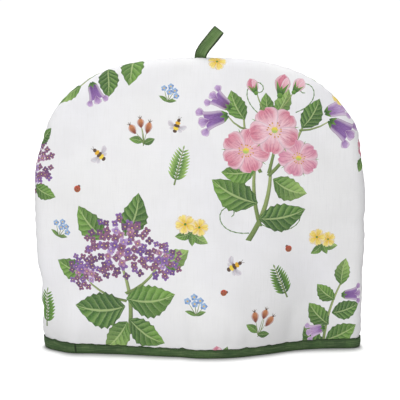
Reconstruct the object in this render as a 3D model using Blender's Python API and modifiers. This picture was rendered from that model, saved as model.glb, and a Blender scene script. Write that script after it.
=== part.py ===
"""A padded tea cosy: a dome of two wadded cloth panels sewn together along a curved seam, its open hem
bound in green tape, with a folded tape loop sewn into the seam at the top.

Metres, +Z up. The hem stands on Z = 0, the front panel faces -Y, and the side seams lie near Y = 0.
Each panel is worked out from its flat pattern: a pattern point (u, v), u across and v up from the hem,
is carried to its place on the standing cosy by panel_surface().
"""

import math

import bmesh
import bpy
import numpy as np

# The dome, seen from the front
BODY_WIDTH = 0.343
SEAM_TOP = 0.3010
WAIST_HEIGHT = 0.152
LEFT_HEM_HALF = 0.161
RIGHT_HEM_HALF = 0.1665
SIDE_POWER = 1.7
DOME_POWER = 2.68

# The dome, seen from the side
WAIST_DEPTH = 0.054
TOP_DEPTH = 0.045
CROWN_POWER = 1.3
EDGE_RADIUS = 0.012
HEM_EDGE_RADIUS = 0.010
HEM_REACH = 0.130

# The padded wall, pressed thinner inside the hem's binding and where the seam is stitched
WALL = 0.008
HEM_WALL = 0.005
SEAM_WALL = 0.004
SEAM_WALL_REACH = 0.020
HEM_PRESS = 0.0015
PRESS_FROM = 0.009
PRESS_TO = 0.024

# The seam between the panels
SEAM_GAP = 0.0003
SEAM_GROOVE = 0.0022
HEM_GROOVE = 0.0006
GROOVE_REACH = 0.005
GROOVE_FROM = 0.012
GROOVE_TO = 0.040
SEAM_WANDER = 0.0015

# The binding, which the hem stands in, with its corners rounded up at the side seams
BINDING_THICKNESS = 0.0013
PIECE_GAP = 0.0003
HEM_LIFT = 0.0021
CORNER_LIFT = 0.0016
JOIN_AT = -0.127
JOIN_RIDGE = 0.0007
JOIN_HALF_WIDTH = 0.0030

# The loop
LOOP_WIDTH = 0.0118
TAPE_THICKNESS = 0.0015
LOOP_SPREAD = 0.0072
LOOP_ROOT = 0.00095
LOOP_STRAIGHT = 0.16
LOOP_TURN = 0.20
SLOT_DEPTH = 0.0070
SLOT_SIDE_ROOM = 0.0006

# How finely the solids are cut
PANEL_COLUMNS = 34
PANEL_ROWS = 30
GRID_EASE = 0.71
LOOP_STEPS = 36

# The binding's height round the hem: a little uneven, as it was sewn on by hand
BINDING_HEIGHTS = [
    {"across": -0.1630, "height": 0.0116},
    {"across": -0.1300, "height": 0.0106},
    {"across": -0.0950, "height": 0.0096},
    {"across": -0.0300, "height": 0.0090},
    {"across": 0.0500, "height": 0.0090},
    {"across": 0.1000, "height": 0.0096},
    {"across": 0.1680, "height": 0.0104},
]

# The hem's front half in plan: how far each place stands in front of its rounded edge
HEM_FRONT = [
    {"across": -0.1610, "crown": 0.000},
    {"across": -0.1500, "crown": 0.010},
    {"across": -0.1340, "crown": 0.024},
    {"across": -0.1100, "crown": 0.027},
    {"across": -0.0760, "crown": 0.033},
    {"across": -0.0430, "crown": 0.043},
    {"across": 0.0030, "crown": 0.0561},
    {"across": 0.0310, "crown": 0.0525},
    {"across": 0.0640, "crown": 0.035},
    {"across": 0.0970, "crown": 0.013},
    {"across": 0.1250, "crown": 0.004},
    {"across": 0.1500, "crown": 0.001},
    {"across": 0.1665, "crown": 0.000},
]
HEM_BACK = [
    {"across": -0.1610, "crown": 0.000},
    {"across": -0.1300, "crown": 0.016},
    {"across": -0.0900, "crown": 0.034},
    {"across": -0.0450, "crown": 0.048},
    {"across": 0.0030, "crown": 0.0530},
    {"across": 0.0500, "crown": 0.0465},
    {"across": 0.0950, "crown": 0.031},
    {"across": 0.1350, "crown": 0.012},
    {"across": 0.1665, "crown": 0.000},
]

# Soft dents in the padding: where, how far they reach, and how deep they press
FRONT_FOLDS = [
    {"x": 0.118, "z": 0.050, "reach_x": 0.030, "reach_z": 0.045, "depth": 0.0050},
    {"x": -0.020, "z": 0.018, "reach_x": 0.012, "reach_z": 0.040, "depth": 0.0022},
    {"x": -0.105, "z": 0.060, "reach_x": 0.040, "reach_z": 0.018, "depth": 0.0022},
    {"x": 0.150, "z": 0.130, "reach_x": 0.018, "reach_z": 0.012, "depth": 0.0025},
    {"x": 0.060, "z": 0.235, "reach_x": 0.060, "reach_z": 0.035, "depth": 0.0030},
    {"x": -0.090, "z": 0.215, "reach_x": 0.035, "reach_z": 0.050, "depth": 0.0020},
]
BACK_FOLDS = [
    {"x": -0.060, "z": 0.040, "reach_x": 0.020, "reach_z": 0.055, "depth": 0.0035},
    {"x": 0.095, "z": 0.075, "reach_x": 0.030, "reach_z": 0.030, "depth": 0.0030},
    {"x": 0.030, "z": 0.200, "reach_x": 0.060, "reach_z": 0.030, "depth": 0.0025},
]

# Places along the outline where the seam draws the edge in
EDGE_TUCKS = [
    {"side": -1, "z": 0.041, "reach": 0.010, "draw": 0.0026},
    {"side": -1, "z": 0.070, "reach": 0.012, "draw": 0.0042},
    {"side": -1, "z": 0.215, "reach": 0.018, "draw": 0.0026},
    {"side": 1, "z": 0.079, "reach": 0.012, "draw": 0.0012},
    {"side": 1, "z": 0.133, "reach": 0.008, "draw": 0.0014},
    {"side": 1, "z": 0.192, "reach": 0.020, "draw": 0.0024},
    {"side": 1, "z": 0.229, "reach": 0.014, "draw": -0.0024},
]

# The loop's middle line from the front, leaning to the right, measured from the seam's top
LOOP_LINE = [
    {"x": 0.0004, "rise": -0.0060},
    {"x": 0.0005, "rise": -0.0010},
    {"x": 0.0012, "rise": 0.0028},
    {"x": 0.0045, "rise": 0.0086},
    {"x": 0.0111, "rise": 0.0168},
    {"x": 0.0193, "rise": 0.0270},
]

CLOTH_WHITE = (0.80, 0.80, 0.81)
BINDING_GREEN = (0.070, 0.125, 0.048)
LOOP_GREEN = (0.110, 0.190, 0.070)


def smoothstep(low, high, value):
    t = np.clip((value - low) / (high - low), 0, 1)
    return t * t * (3 - 2 * t)


def smooth_curve(table, key, value, at):
    """Reads a table at the places `at` by a cubic curve through its rows."""
    xs = np.array([row[key] for row in table])
    ys = np.array([row[value] for row in table])
    slopes = np.gradient(ys, xs)
    at = np.clip(at, xs[0], xs[-1])
    i = np.clip(np.searchsorted(xs, at) - 1, 0, len(xs) - 2)
    step = xs[i + 1] - xs[i]
    t = (at - xs[i]) / step
    return (
        (2 * t**3 - 3 * t**2 + 1) * ys[i]
        + (t**3 - 2 * t**2 + t) * step * slopes[i]
        + (3 * t**2 - 2 * t**3) * ys[i + 1]
        + (t**3 - t**2) * step * slopes[i + 1]
    )


def edge_profile(half_width, crown):
    """A half section from the middle to the seam: for shares of its cloth, the share of the half width
    reached, and how much of the rounded edge stands there."""
    flat = np.linspace(0, half_width - EDGE_RADIUS, 120)
    turn = np.linspace(0, math.pi / 2, 80)
    across = np.concatenate([flat, half_width - EDGE_RADIUS + EDGE_RADIUS * np.sin(turn[1:])])
    edge = np.concatenate([np.ones_like(flat), np.cos(turn[1:])])
    depth = EDGE_RADIUS * edge + crown * (1 - (across / half_width) ** 2) ** CROWN_POWER
    steps = np.hypot(np.diff(across), np.diff(depth))
    length = np.concatenate([[0], np.cumsum(steps)])
    return length / length[-1], across / half_width, edge, length[-1]


CLOTH_SHARE, WIDTH_SHARE, EDGE_SHARE, PATTERN_HALF = edge_profile(
    BODY_WIDTH / 2, WAIST_DEPTH - EDGE_RADIUS
)
PATTERN_UPPER = edge_profile(SEAM_TOP - WAIST_HEIGHT, WAIST_DEPTH - EDGE_RADIUS)[3]
PATTERN_LOWER = WAIST_HEIGHT + 0.001


def hem_lift(across):
    """How high the panel's lower edge stands: more in the corners at the side seams."""
    return HEM_LIFT + CORNER_LIFT * np.abs(across) ** 24


def half_width_at(x, z):
    """The outline's half width below the waist, which narrows to the hem, less on the right."""
    hem = np.where(x < 0, LEFT_HEM_HALF, RIGHT_HEM_HALF)
    fall = np.clip(1 - z / WAIST_HEIGHT, 0, 1) ** SIDE_POWER
    return BODY_WIDTH / 2 - (BODY_WIDTH / 2 - hem) * fall


def pressed_by_folds(x, z, folds):
    total = np.zeros_like(x)
    for fold in folds:
        far = ((x - fold["x"]) / fold["reach_x"]) ** 2 + ((z - fold["z"]) / fold["reach_z"]) ** 2
        total += fold["depth"] * np.exp(-far)
    return total


def drawn_by_tucks(x, z):
    total = np.zeros_like(x)
    for tuck in EDGE_TUCKS:
        beside = np.sign(x) == tuck["side"]
        total += beside * tuck["draw"] * np.exp(-(((z - tuck["z"]) / tuck["reach"]) ** 2))
    return total


def panel_surface(u, v, facing):
    """The outer face of a panel. facing is -1 for the front panel and 1 for the back one."""
    u, v = np.broadcast_arrays(np.asarray(u, float), np.asarray(v, float))
    across = u / PATTERN_HALF
    up = np.maximum(v - PATTERN_LOWER, 0) / PATTERN_UPPER
    share = (np.abs(across) ** DOME_POWER + up**DOME_POWER) ** (1 / DOME_POWER)
    reach = np.interp(share, CLOTH_SHARE, WIDTH_SHARE)
    edge = np.interp(share, CLOTH_SHARE, EDGE_SHARE)
    spread = reach / np.maximum(share, 1e-9)

    lower = np.clip(v / PATTERN_LOWER, 0, 1)
    lift = hem_lift(across)
    z = lift + lower * (WAIST_HEIGHT - lift) + up * spread * (SEAM_TOP - WAIST_HEIGHT)
    x = across * spread * half_width_at(across, z)

    crown = np.clip(1 - reach**2, 0, 1) ** CROWN_POWER
    height_share = np.clip((z - WAIST_HEIGHT) / (SEAM_TOP - WAIST_HEIGHT), 0, 1)
    full_depth = WAIST_DEPTH - (WAIST_DEPTH - TOP_DEPTH) * height_share
    body = EDGE_RADIUS * edge + (full_depth - EDGE_RADIUS) * crown
    hem_table, folds = (HEM_FRONT, FRONT_FOLDS) if facing < 0 else (HEM_BACK, BACK_FOLDS)
    hem = HEM_EDGE_RADIUS * edge + smooth_curve(hem_table, "across", "crown", x)
    near_hem = 1 - smoothstep(0, HEM_REACH, z)
    inside_seam = 1 - share**8
    pressed = HEM_PRESS * (1 - smoothstep(PRESS_FROM, PRESS_TO, z))
    depth = body * (1 - near_hem) + hem * near_hem
    depth -= (pressed_by_folds(x, z, folds) + pressed) * inside_seam

    # The seam draws the rounded edge in, towards the middle of the panel
    out_x = np.sign(across) * (np.abs(across) * spread) ** (DOME_POWER - 1) / (BODY_WIDTH / 2)
    out_z = (up * spread) ** (DOME_POWER - 1) / (SEAM_TOP - WAIST_HEIGHT)
    size = np.hypot(out_x, out_z) + 1e-9
    groove = HEM_GROOVE + (SEAM_GROOVE - HEM_GROOVE) * smoothstep(GROOVE_FROM, GROOVE_TO, z)
    draw = groove * np.exp(-np.maximum(depth, 0) / GROOVE_REACH)
    draw += (pressed + drawn_by_tucks(x, z)) * share**12
    x = x - draw * out_x / size
    z = z - draw * out_z / size

    wander = SEAM_WANDER * np.sin(2 * math.pi * (x / 0.23 + (z - SEAM_TOP) / 0.17))
    y = facing * (depth + SEAM_GAP / 2) + wander
    return np.stack([x, y, z], axis=-1)


def panel_normal(u, v, facing):
    """The outward normal of a panel's outer face, from small steps along it."""
    step = 0.0004
    u, v = np.broadcast_arrays(np.asarray(u, float), np.asarray(v, float))
    u = np.clip(u, step - PATTERN_HALF, PATTERN_HALF - step)
    along = panel_surface(u + step, v, facing) - panel_surface(u - step, v, facing)
    upward = panel_surface(u, v + step, facing) - panel_surface(u, np.maximum(v - step, 0), facing)
    normal = np.cross(along, upward) * -facing
    return normal / np.linalg.norm(normal, axis=-1, keepdims=True)


def wall_thickness(u, v):
    """The padding's thickness at a pattern point: less in the hem, and less still beside the seam."""
    up = np.maximum(v - PATTERN_LOWER, 0) / PATTERN_UPPER
    share = (np.abs(u / PATTERN_HALF) ** DOME_POWER + up**DOME_POWER) ** (1 / DOME_POWER)
    from_seam = (1 - share) * PATTERN_HALF
    in_hem = 1 - smoothstep(PRESS_FROM, PRESS_TO, v + HEM_LIFT)
    at_seam = 1 - smoothstep(0, SEAM_WALL_REACH, from_seam)
    return WALL - np.maximum((WALL - HEM_WALL) * in_hem, (WALL - SEAM_WALL) * at_seam)


def material(name, colour, roughness):
    made = bpy.data.materials.new(name)
    made.use_nodes = True
    shader = made.node_tree.nodes["Principled BSDF"]
    shader.inputs["Base Color"].default_value = (*colour, 1)
    shader.inputs["Roughness"].default_value = roughness
    shader.inputs["Metallic"].default_value = 0
    made.diffuse_color = (*colour, 1)
    return made


def eased(t):
    """Moves evenly spaced places in -1 to 1 closer together towards both ends."""
    return GRID_EASE * math.sin(math.pi / 2 * t) + (1 - GRID_EASE) * t


def pattern_point(across, up):
    """Carries a point of a square, -1 to 1 each way, to the dome-shaped pattern of a panel."""
    p = eased(across)
    q = eased(up)
    upper = max(q, 0)
    u = p * (1 - upper**DOME_POWER / 2) ** (1 / DOME_POWER)
    v = upper * (1 - abs(p) ** DOME_POWER / 2) ** (1 / DOME_POWER)
    return u * PATTERN_HALF, PATTERN_LOWER * (1 + min(q, 0)) + v * PATTERN_UPPER


def make_panel(name, facing, collection, cloth):
    """One padded panel: a grid carried on to the panel's outer face, with Solidify for the padding."""
    bm = bmesh.new()
    bmesh.ops.create_grid(bm, x_segments=PANEL_COLUMNS, y_segments=PANEL_ROWS, size=1)
    pattern = np.array([pattern_point(vert.co.x, vert.co.y) for vert in bm.verts])
    places = panel_surface(pattern[:, 0], pattern[:, 1], facing)
    for vert, place in zip(bm.verts, places):
        vert.co = place
    if facing > 0:
        bmesh.ops.reverse_faces(bm, faces=bm.faces)
    mesh = bpy.data.meshes.new(name)
    bm.to_mesh(mesh)
    bm.free()
    panel = bpy.data.objects.new(name, mesh)
    collection.objects.link(panel)
    mesh.materials.append(cloth)
    mesh.shade_smooth()

    padding = panel.vertex_groups.new(name="padding")
    for index, thickness in enumerate(wall_thickness(pattern[:, 0], pattern[:, 1])):
        padding.add([index], float(thickness / WALL), "REPLACE")
    solidify = panel.modifiers.new("Padding", "SOLIDIFY")
    solidify.thickness = WALL
    solidify.offset = -1
    solidify.vertex_group = padding.name
    solidify.use_even_offset = False
    return panel


def cut_slot(panel, cutters, cutter_name):
    """Opens the seam at the top by the thickness of the loop's two tapes."""
    bpy.ops.mesh.primitive_cube_add(size=1)
    cutter = bpy.context.object
    cutter.name = cutter_name
    wide = LOOP_WIDTH + 2 * SLOT_SIDE_ROOM
    deep = 2 * (LOOP_ROOT + TAPE_THICKNESS / 2 + PIECE_GAP)
    wander = float(panel_surface(0.0, PATTERN_LOWER + PATTERN_UPPER, 1)[1]) - SEAM_GAP / 2
    for vert in cutter.data.vertices:
        vert.co.x = vert.co.x * wide + LOOP_LINE[0]["x"]
        vert.co.y = vert.co.y * deep + wander
        vert.co.z = SEAM_TOP + vert.co.z * 2 * SLOT_DEPTH
    for owner in list(cutter.users_collection):
        owner.objects.unlink(cutter)
    cutters.objects.link(cutter)
    cutter.display_type = "WIRE"
    cutter.hide_render = True
    slot = panel.modifiers.new("Loop slot", "BOOLEAN")
    slot.object = cutter
    slot.operation = "DIFFERENCE"
    slot.solver = "EXACT"
    return wander


def loft(name, sections, closed_ring, collection, cloth):
    """A solid through a row of like sections, closed into a ring or capped at its ends."""
    bm = bmesh.new()
    rows = [[bm.verts.new(point) for point in section] for section in sections]
    count = len(rows[0])
    pairs = list(zip(rows, rows[1:]))
    if closed_ring:
        pairs.append((rows[-1], rows[0]))
    else:
        bm.faces.new(rows[0])
        bm.faces.new(rows[-1])
    for row, following in pairs:
        for i in range(count):
            j = (i + 1) % count
            bm.faces.new((row[i], row[j], following[j], following[i]))
    bmesh.ops.recalc_face_normals(bm, faces=bm.faces)
    mesh = bpy.data.meshes.new(name)
    bm.to_mesh(mesh)
    bm.free()
    made = bpy.data.objects.new(name, mesh)
    collection.objects.link(made)
    mesh.materials.append(cloth)
    mesh.shade_smooth()
    mesh.set_sharp_from_angle(angle=math.radians(50))
    return made


def hem_stations():
    """Places round the hem, from the left seam along the front and back along the back panel. The front
    has three more at the binding's join."""
    u = np.array([eased(t) for t in np.linspace(-1, 1, PANEL_COLUMNS + 1)]) * PATTERN_HALF
    at_join = JOIN_AT + JOIN_HALF_WIDTH * np.array([-1.0, 0.0, 1.0])
    joined = np.interp(at_join, panel_surface(u, 0, -1)[:, 0], u)
    front = sorted([*u, *joined])
    return [(place, -1) for place in front] + [(place, 1) for place in u[-2:0:-1]]


def hem_section(u, facing):
    """The binding's folded section round the panel's lower edge at one place of the hem."""
    at_seam = abs(u) > PATTERN_HALF - 1e-6
    edge = float(hem_lift(u / PATTERN_HALF))
    place = panel_surface(u, 0, facing)[0]
    height = float(smooth_curve(BINDING_HEIGHTS, "across", "height", place)) - HEM_LIFT
    rows = np.array([0.0, 0.5, 1.0]) * height
    outer = panel_surface(np.full(3, u), rows, facing)
    normal = panel_normal(np.full(3, u), rows, facing)
    if at_seam:
        normal = np.array([[math.copysign(1, u), 0, 0]] * 3)
        outer[:, 1] -= facing * SEAM_GAP / 2
    normal[:, 2] = 0
    normal /= np.linalg.norm(normal, axis=1, keepdims=True)
    inner = outer - normal * wall_thickness(np.full(3, u), rows)[:, None]
    gap, thick = PIECE_GAP, BINDING_THICKNESS
    from_join = abs(place - JOIN_AT) / JOIN_HALF_WIDTH
    ridge = JOIN_RIDGE * max(0, 1 - from_join) if facing < 0 else 0
    low = edge - 2 * gap
    bottom = edge - HEM_LIFT

    def at(places, row, out, z=None):
        point = places[row] + normal[row] * out
        return (point[0], point[1], point[2] if z is None else z)

    return [
        at(outer, 2, gap),
        at(outer, 2, gap + thick + ridge),
        at(outer, 1, gap + thick + 0.0003 + ridge),
        at(outer, 0, gap + thick + ridge),
        at(outer, 0, gap + 0.4 * thick, bottom),
        at(inner, 0, -gap - 0.4 * thick, bottom),
        at(inner, 0, -2 * gap - thick),
        at(inner, 1, -2 * gap - thick - 0.0003),
        at(inner, 2, -2 * gap - thick),
        at(inner, 2, -2 * gap),
        at(inner, 1, -2 * gap),
        at(inner, 0, -2 * gap, low),
        at(outer, 0, gap, low),
        at(outer, 1, gap),
    ]


def make_binding(collection, cloth):
    sections = [hem_section(u, facing) for u, facing in hem_stations()]
    return loft("hem_binding", sections, True, collection, cloth)


def loop_line(t):
    """The loop's middle line and its direction from the front, t from 0 at the root to 1 at the fold."""
    rises = [row["rise"] for row in LOOP_LINE]
    rise = rises[0] + (rises[-1] - rises[0]) * t
    step = 0.0005
    x = smooth_curve(LOOP_LINE, "rise", "x", rise)
    above = smooth_curve(LOOP_LINE, "rise", "x", rise + step)
    below = smooth_curve(LOOP_LINE, "rise", "x", rise - step)
    run = np.minimum(rise + step, rises[-1]) - np.maximum(rise - step, rises[0])
    lean = np.arctan2(above - below, run)
    return float(x), float(SEAM_TOP + rise), float(lean)


def loop_path_point(angle):
    """The folded tape seen from its edge: up in front, over the fold and down behind."""
    t = (1 - math.cos(angle)) / 2
    bow = max(0, (t - LOOP_STRAIGHT) / (1 - LOOP_STRAIGHT)) ** 1.2
    turn = math.cos(angle / 2)
    closing = math.copysign(1 - (1 - abs(turn)) ** 2, turn)
    return t, -closing * (LOOP_ROOT + LOOP_SPREAD * bow)


def make_loop(seam_y, collection, cloth):
    """The tape's flat section carried along the folded path."""
    sections = []
    start = math.acos(1 - 2 * LOOP_STRAIGHT)
    angles = [0, *np.linspace(start, 2 * math.pi - start, LOOP_STEPS), 2 * math.pi]
    for angle in angles:
        t, y = loop_path_point(angle)
        x, z, lean = loop_line(t)
        nearby = 1e-3
        t1, y1 = loop_path_point(min(angle + nearby, 2 * math.pi))
        t0, y0 = loop_path_point(max(angle - nearby, 0))
        length = (LOOP_LINE[-1]["rise"] - LOOP_LINE[0]["rise"]) / math.cos(lean)
        rise, run = (t1 - t0) * length, y1 - y0
        size = math.hypot(rise, run)
        along = np.array([math.sin(lean), 0, math.cos(lean)])
        side = np.array([math.cos(lean), 0, -math.sin(lean)])
        normal = np.array([0.0, 1.0, 0.0]) * rise / size - along * run / size
        middle = np.array([x + LOOP_TURN * y, seam_y + y, z])
        half, thick = LOOP_WIDTH / 2, TAPE_THICKNESS / 2
        sections.append(
            [
                middle - side * half - normal * thick * 0.7,
                middle - side * half * 0.8 - normal * thick,
                middle + side * half * 0.8 - normal * thick,
                middle + side * half - normal * thick * 0.7,
                middle + side * half + normal * thick * 0.7,
                middle + side * half * 0.8 + normal * thick,
                middle - side * half * 0.8 + normal * thick,
                middle - side * half + normal * thick * 0.7,
            ]
        )
    return loft("hanging_loop", sections, False, collection, cloth)


def main():
    for obj in list(bpy.data.objects):
        bpy.data.objects.remove(obj)
    scene = bpy.context.scene
    scene.unit_settings.system = "METRIC"
    cosy = bpy.data.collections.new("Tea cosy")
    cutters = bpy.data.collections.new("Cutters")
    scene.collection.children.link(cosy)
    scene.collection.children.link(cutters)

    printed = material("Printed cotton", CLOTH_WHITE, 0.85)
    binding = material("Binding tape", BINDING_GREEN, 0.80)
    tape = material("Loop tape", LOOP_GREEN, 0.80)

    front = make_panel("panel_front", -1, cosy, printed)
    back = make_panel("panel_back", 1, cosy, printed)
    seam_y = cut_slot(front, cutters, "front_slot_cutter")
    cut_slot(back, cutters, "back_slot_cutter")
    make_binding(cosy, binding)
    make_loop(seam_y, cosy, tape)


main()
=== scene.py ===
"""The looks of the padded tea cosy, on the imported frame.

The panels, binding and loop are made again, finer, from the same named sizes as the solids. The print on
the panels is part of their mesh: each leaf, petal and stem is drawn in the flat pattern of the panel, which
is then cut into triangles along the drawing's lines and carried on to the standing cosy. Each corner keeps
its two inks and its place in its motif, which the material reads.

Metres, +Z up, the front panel facing -Y. The drawing's own tables are in millimetres.
"""

import math
import random

import bmesh
import bpy
import numpy as np
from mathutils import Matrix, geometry


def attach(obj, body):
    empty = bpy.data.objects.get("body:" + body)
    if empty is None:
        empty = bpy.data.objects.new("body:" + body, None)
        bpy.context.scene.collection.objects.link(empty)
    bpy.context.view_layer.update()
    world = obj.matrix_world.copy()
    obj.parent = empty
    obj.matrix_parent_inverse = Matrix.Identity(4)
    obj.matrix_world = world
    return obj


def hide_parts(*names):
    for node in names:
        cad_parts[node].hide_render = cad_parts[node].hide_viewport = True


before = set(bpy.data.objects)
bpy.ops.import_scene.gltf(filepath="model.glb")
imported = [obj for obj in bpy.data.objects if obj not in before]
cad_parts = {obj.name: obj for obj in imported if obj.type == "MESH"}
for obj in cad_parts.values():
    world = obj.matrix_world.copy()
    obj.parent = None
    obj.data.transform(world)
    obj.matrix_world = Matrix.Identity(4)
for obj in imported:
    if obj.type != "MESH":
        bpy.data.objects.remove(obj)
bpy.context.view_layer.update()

# The solids' named sizes
BODY_WIDTH = 0.343
SEAM_TOP = 0.3010
WAIST_HEIGHT = 0.152
LEFT_HEM_HALF = 0.161
RIGHT_HEM_HALF = 0.1665
SIDE_POWER = 1.7
DOME_POWER = 2.68
WAIST_DEPTH = 0.054
TOP_DEPTH = 0.045
CROWN_POWER = 1.3
EDGE_RADIUS = 0.012
HEM_EDGE_RADIUS = 0.010
HEM_REACH = 0.130
WALL = 0.008
HEM_WALL = 0.005
SEAM_WALL = 0.004
SEAM_WALL_REACH = 0.020
HEM_PRESS = 0.0015
PRESS_FROM = 0.009
PRESS_TO = 0.024
SEAM_GAP = 0.0003
SEAM_GROOVE = 0.0022
HEM_GROOVE = 0.0006
GROOVE_REACH = 0.005
GROOVE_FROM = 0.012
GROOVE_TO = 0.040
SEAM_WANDER = 0.0015
BINDING_THICKNESS = 0.0013
PIECE_GAP = 0.0003
HEM_LIFT = 0.0021
CORNER_LIFT = 0.0016
JOIN_AT = -0.127
JOIN_RIDGE = 0.0007
LOOP_WIDTH = 0.0118
TAPE_THICKNESS = 0.0015
LOOP_SPREAD = 0.0072
LOOP_ROOT = 0.00095
LOOP_STRAIGHT = 0.16
LOOP_TURN = 0.20

def table(columns, *rows):
    """Rows of numbers under named columns."""
    return [dict(zip(columns.split(), row)) for row in rows]


BINDING_HEIGHTS = table(
    "across height",
    (-0.1630, 0.0116), (-0.1300, 0.0106), (-0.0950, 0.0096), (-0.0300, 0.0090),
    (0.0500, 0.0090), (0.1000, 0.0096), (0.1680, 0.0104),
)
HEM_FRONT = table(
    "across crown",
    (-0.1610, 0.000), (-0.1500, 0.010), (-0.1340, 0.024), (-0.1100, 0.027), (-0.0760, 0.033),
    (-0.0430, 0.043), (0.0030, 0.0561), (0.0310, 0.0525), (0.0640, 0.035), (0.0970, 0.013),
    (0.1250, 0.004), (0.1500, 0.001), (0.1665, 0.000),
)
HEM_BACK = table(
    "across crown",
    (-0.1610, 0.000), (-0.1300, 0.016), (-0.0900, 0.034), (-0.0450, 0.048), (0.0030, 0.0530),
    (0.0500, 0.0465), (0.0950, 0.031), (0.1350, 0.012), (0.1665, 0.000),
)
FRONT_FOLDS = table(
    "x z reach_x reach_z depth",
    (0.118, 0.050, 0.030, 0.045, 0.0050),
    (-0.020, 0.018, 0.012, 0.040, 0.0030),
    (-0.105, 0.060, 0.040, 0.018, 0.0030),
    (0.150, 0.130, 0.018, 0.012, 0.0025),
    (0.060, 0.235, 0.060, 0.035, 0.0030),
    (-0.090, 0.215, 0.035, 0.050, 0.0020),
)
BACK_FOLDS = table(
    "x z reach_x reach_z depth",
    (-0.060, 0.040, 0.020, 0.055, 0.0035),
    (0.095, 0.075, 0.030, 0.030, 0.0030),
    (0.030, 0.200, 0.060, 0.030, 0.0025),
)
EDGE_TUCKS = table(
    "side z reach draw",
    (-1, 0.041, 0.010, 0.0026), (-1, 0.070, 0.012, 0.0042), (-1, 0.215, 0.018, 0.0026),
    (1, 0.079, 0.012, 0.0012), (1, 0.133, 0.008, 0.0014), (1, 0.192, 0.020, 0.0024),
    (1, 0.229, 0.014, -0.0024),
)
LOOP_LINE = table(
    "x rise",
    (0.0004, -0.0060), (0.0005, -0.0010), (0.0012, 0.0028),
    (0.0045, 0.0086), (0.0111, 0.0168), (0.0193, 0.0270),
)

# Fine creases of the cloth: where, along which way (degrees from upright), how long and wide, how deep
CREASES = {
    -1: table(
        "x z tilt long wide depth",
        (-0.004, 0.024, 4, 0.017, 0.0030, 0.0015),
        (-0.019, 0.032, -6, 0.020, 0.0042, 0.0012),
        (0.010, 0.026, 3, 0.014, 0.0034, 0.0010),
        (0.029, 0.022, 8, 0.012, 0.0034, 0.0009),
        (-0.060, 0.026, -9, 0.015, 0.0040, 0.0009),
        (0.094, 0.030, 7, 0.016, 0.0042, 0.0008),
        (0.158, 0.030, 62, 0.008, 0.0020, 0.0010),
        (0.163, 0.132, 80, 0.010, 0.0022, 0.0009),
        (-0.155, 0.066, 70, 0.016, 0.0035, 0.0009),
        (-0.157, 0.043, 82, 0.014, 0.0030, 0.0008),
        (0.042, 0.190, 3, 0.060, 0.0150, 0.0030),
        (-0.062, 0.140, -32, 0.060, 0.0130, 0.0009),
        (0.110, 0.225, -40, 0.034, 0.0090, 0.0009),
        (-0.118, 0.225, 42, 0.034, 0.0090, 0.0009),
    ),
    1: table(
        "x z tilt long wide depth",
        (0.045, 0.028, -5, 0.018, 0.0032, 0.0009),
        (-0.118, 0.120, 28, 0.040, 0.0090, 0.0008),
        (0.120, 0.180, -20, 0.035, 0.0080, 0.0007),
    ),
}
PUCKER_DEPTH = 0.00060
PUCKER_PITCH = 0.0127
GATHER_DEPTH = 0.00060
GATHER_PITCH = 0.0205
BINDING_LINE = 0.0115

BINDING_STATIONS = 430
BINDING_PEAKS = [
    -0.148, -0.134, -0.109, -0.083, -0.061, -0.040, -0.018, 0.012, 0.031, 0.047, 0.070, 0.089, 0.121, 0.158,
]
PEAK_HEIGHT = 0.0011
PEAK_WIDTH = 0.0019
STITCH_PITCH = 0.0031
STITCH_RINGS = [(0, 0.35, -0.5), (0.18, 0.9, 0.25), (0.5, 1, 0.45), (0.82, 0.9, 0.25), (1, 0.35, -0.5)]
LOOP_STITCH_PITCH = 0.0021
LOOP_STITCH_MARGIN = 0.0085

# The print is cut into the panel's net: its spacing, the rows beside the seam and those over the hem, in mm
OUTER_SPACING = 4.4
OUTER_RINGS = [1.2, 2.5, 4.0, 6.0, 8.5, 11.5, 15.0, 19.0]
OUTER_HEM_ROWS = [2.5, 5, 7, 9, 10.5, 12, 13.5, 15, 17, 19.5, 22.5, 26]
INNER_SPACING = 9.0
INNER_RINGS = [5.0, 12.0]
INNER_HEM_ROWS = [8.0]
INNER_CLOTH_SHIFT = [0.5, 0.3]

FLOOR_STATIONS = 160
FLOOR_RINGS = (0.0015, 0.004, 0.007, 0.011, 0.016, 0.022, 0.028)
WORLD_LIGHT = 0.44
WORLD_SHOWN = 1.05


def new_piece(name, verts, faces, material=None):
    mesh = bpy.data.meshes.new(name)
    mesh.from_pydata(np.asarray(verts, float).tolist(), [], faces)
    piece = bpy.data.objects.new(name, mesh)
    bpy.context.scene.collection.objects.link(piece)
    if material:
        mesh.materials.append(material)
    return piece


def keep_values(mesh, key, kind, domain, values):
    """Keeps values on a mesh under the name by which a material reads them."""
    field = {"FLOAT": "value", "FLOAT_VECTOR": "vector", "FLOAT_COLOR": "color"}[kind]
    mesh.attributes.new(key, kind, domain).data.foreach_set(field, np.asarray(values, float).ravel())


def smoothstep(low, high, value):
    t = np.clip((value - low) / (high - low), 0, 1)
    return t * t * (3 - 2 * t)


def smooth_curve(table, key, value, at):
    """Reads a table at the places `at` by a cubic curve through its rows."""
    xs = np.array([row[key] for row in table])
    ys = np.array([row[value] for row in table])
    slopes = np.gradient(ys, xs)
    at = np.clip(at, xs[0], xs[-1])
    i = np.clip(np.searchsorted(xs, at) - 1, 0, len(xs) - 2)
    step = xs[i + 1] - xs[i]
    t = (at - xs[i]) / step
    return (
        (2 * t**3 - 3 * t**2 + 1) * ys[i]
        + (t**3 - 2 * t**2 + t) * step * slopes[i]
        + (3 * t**2 - 2 * t**3) * ys[i + 1]
        + (t**3 - t**2) * step * slopes[i + 1]
    )


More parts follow.
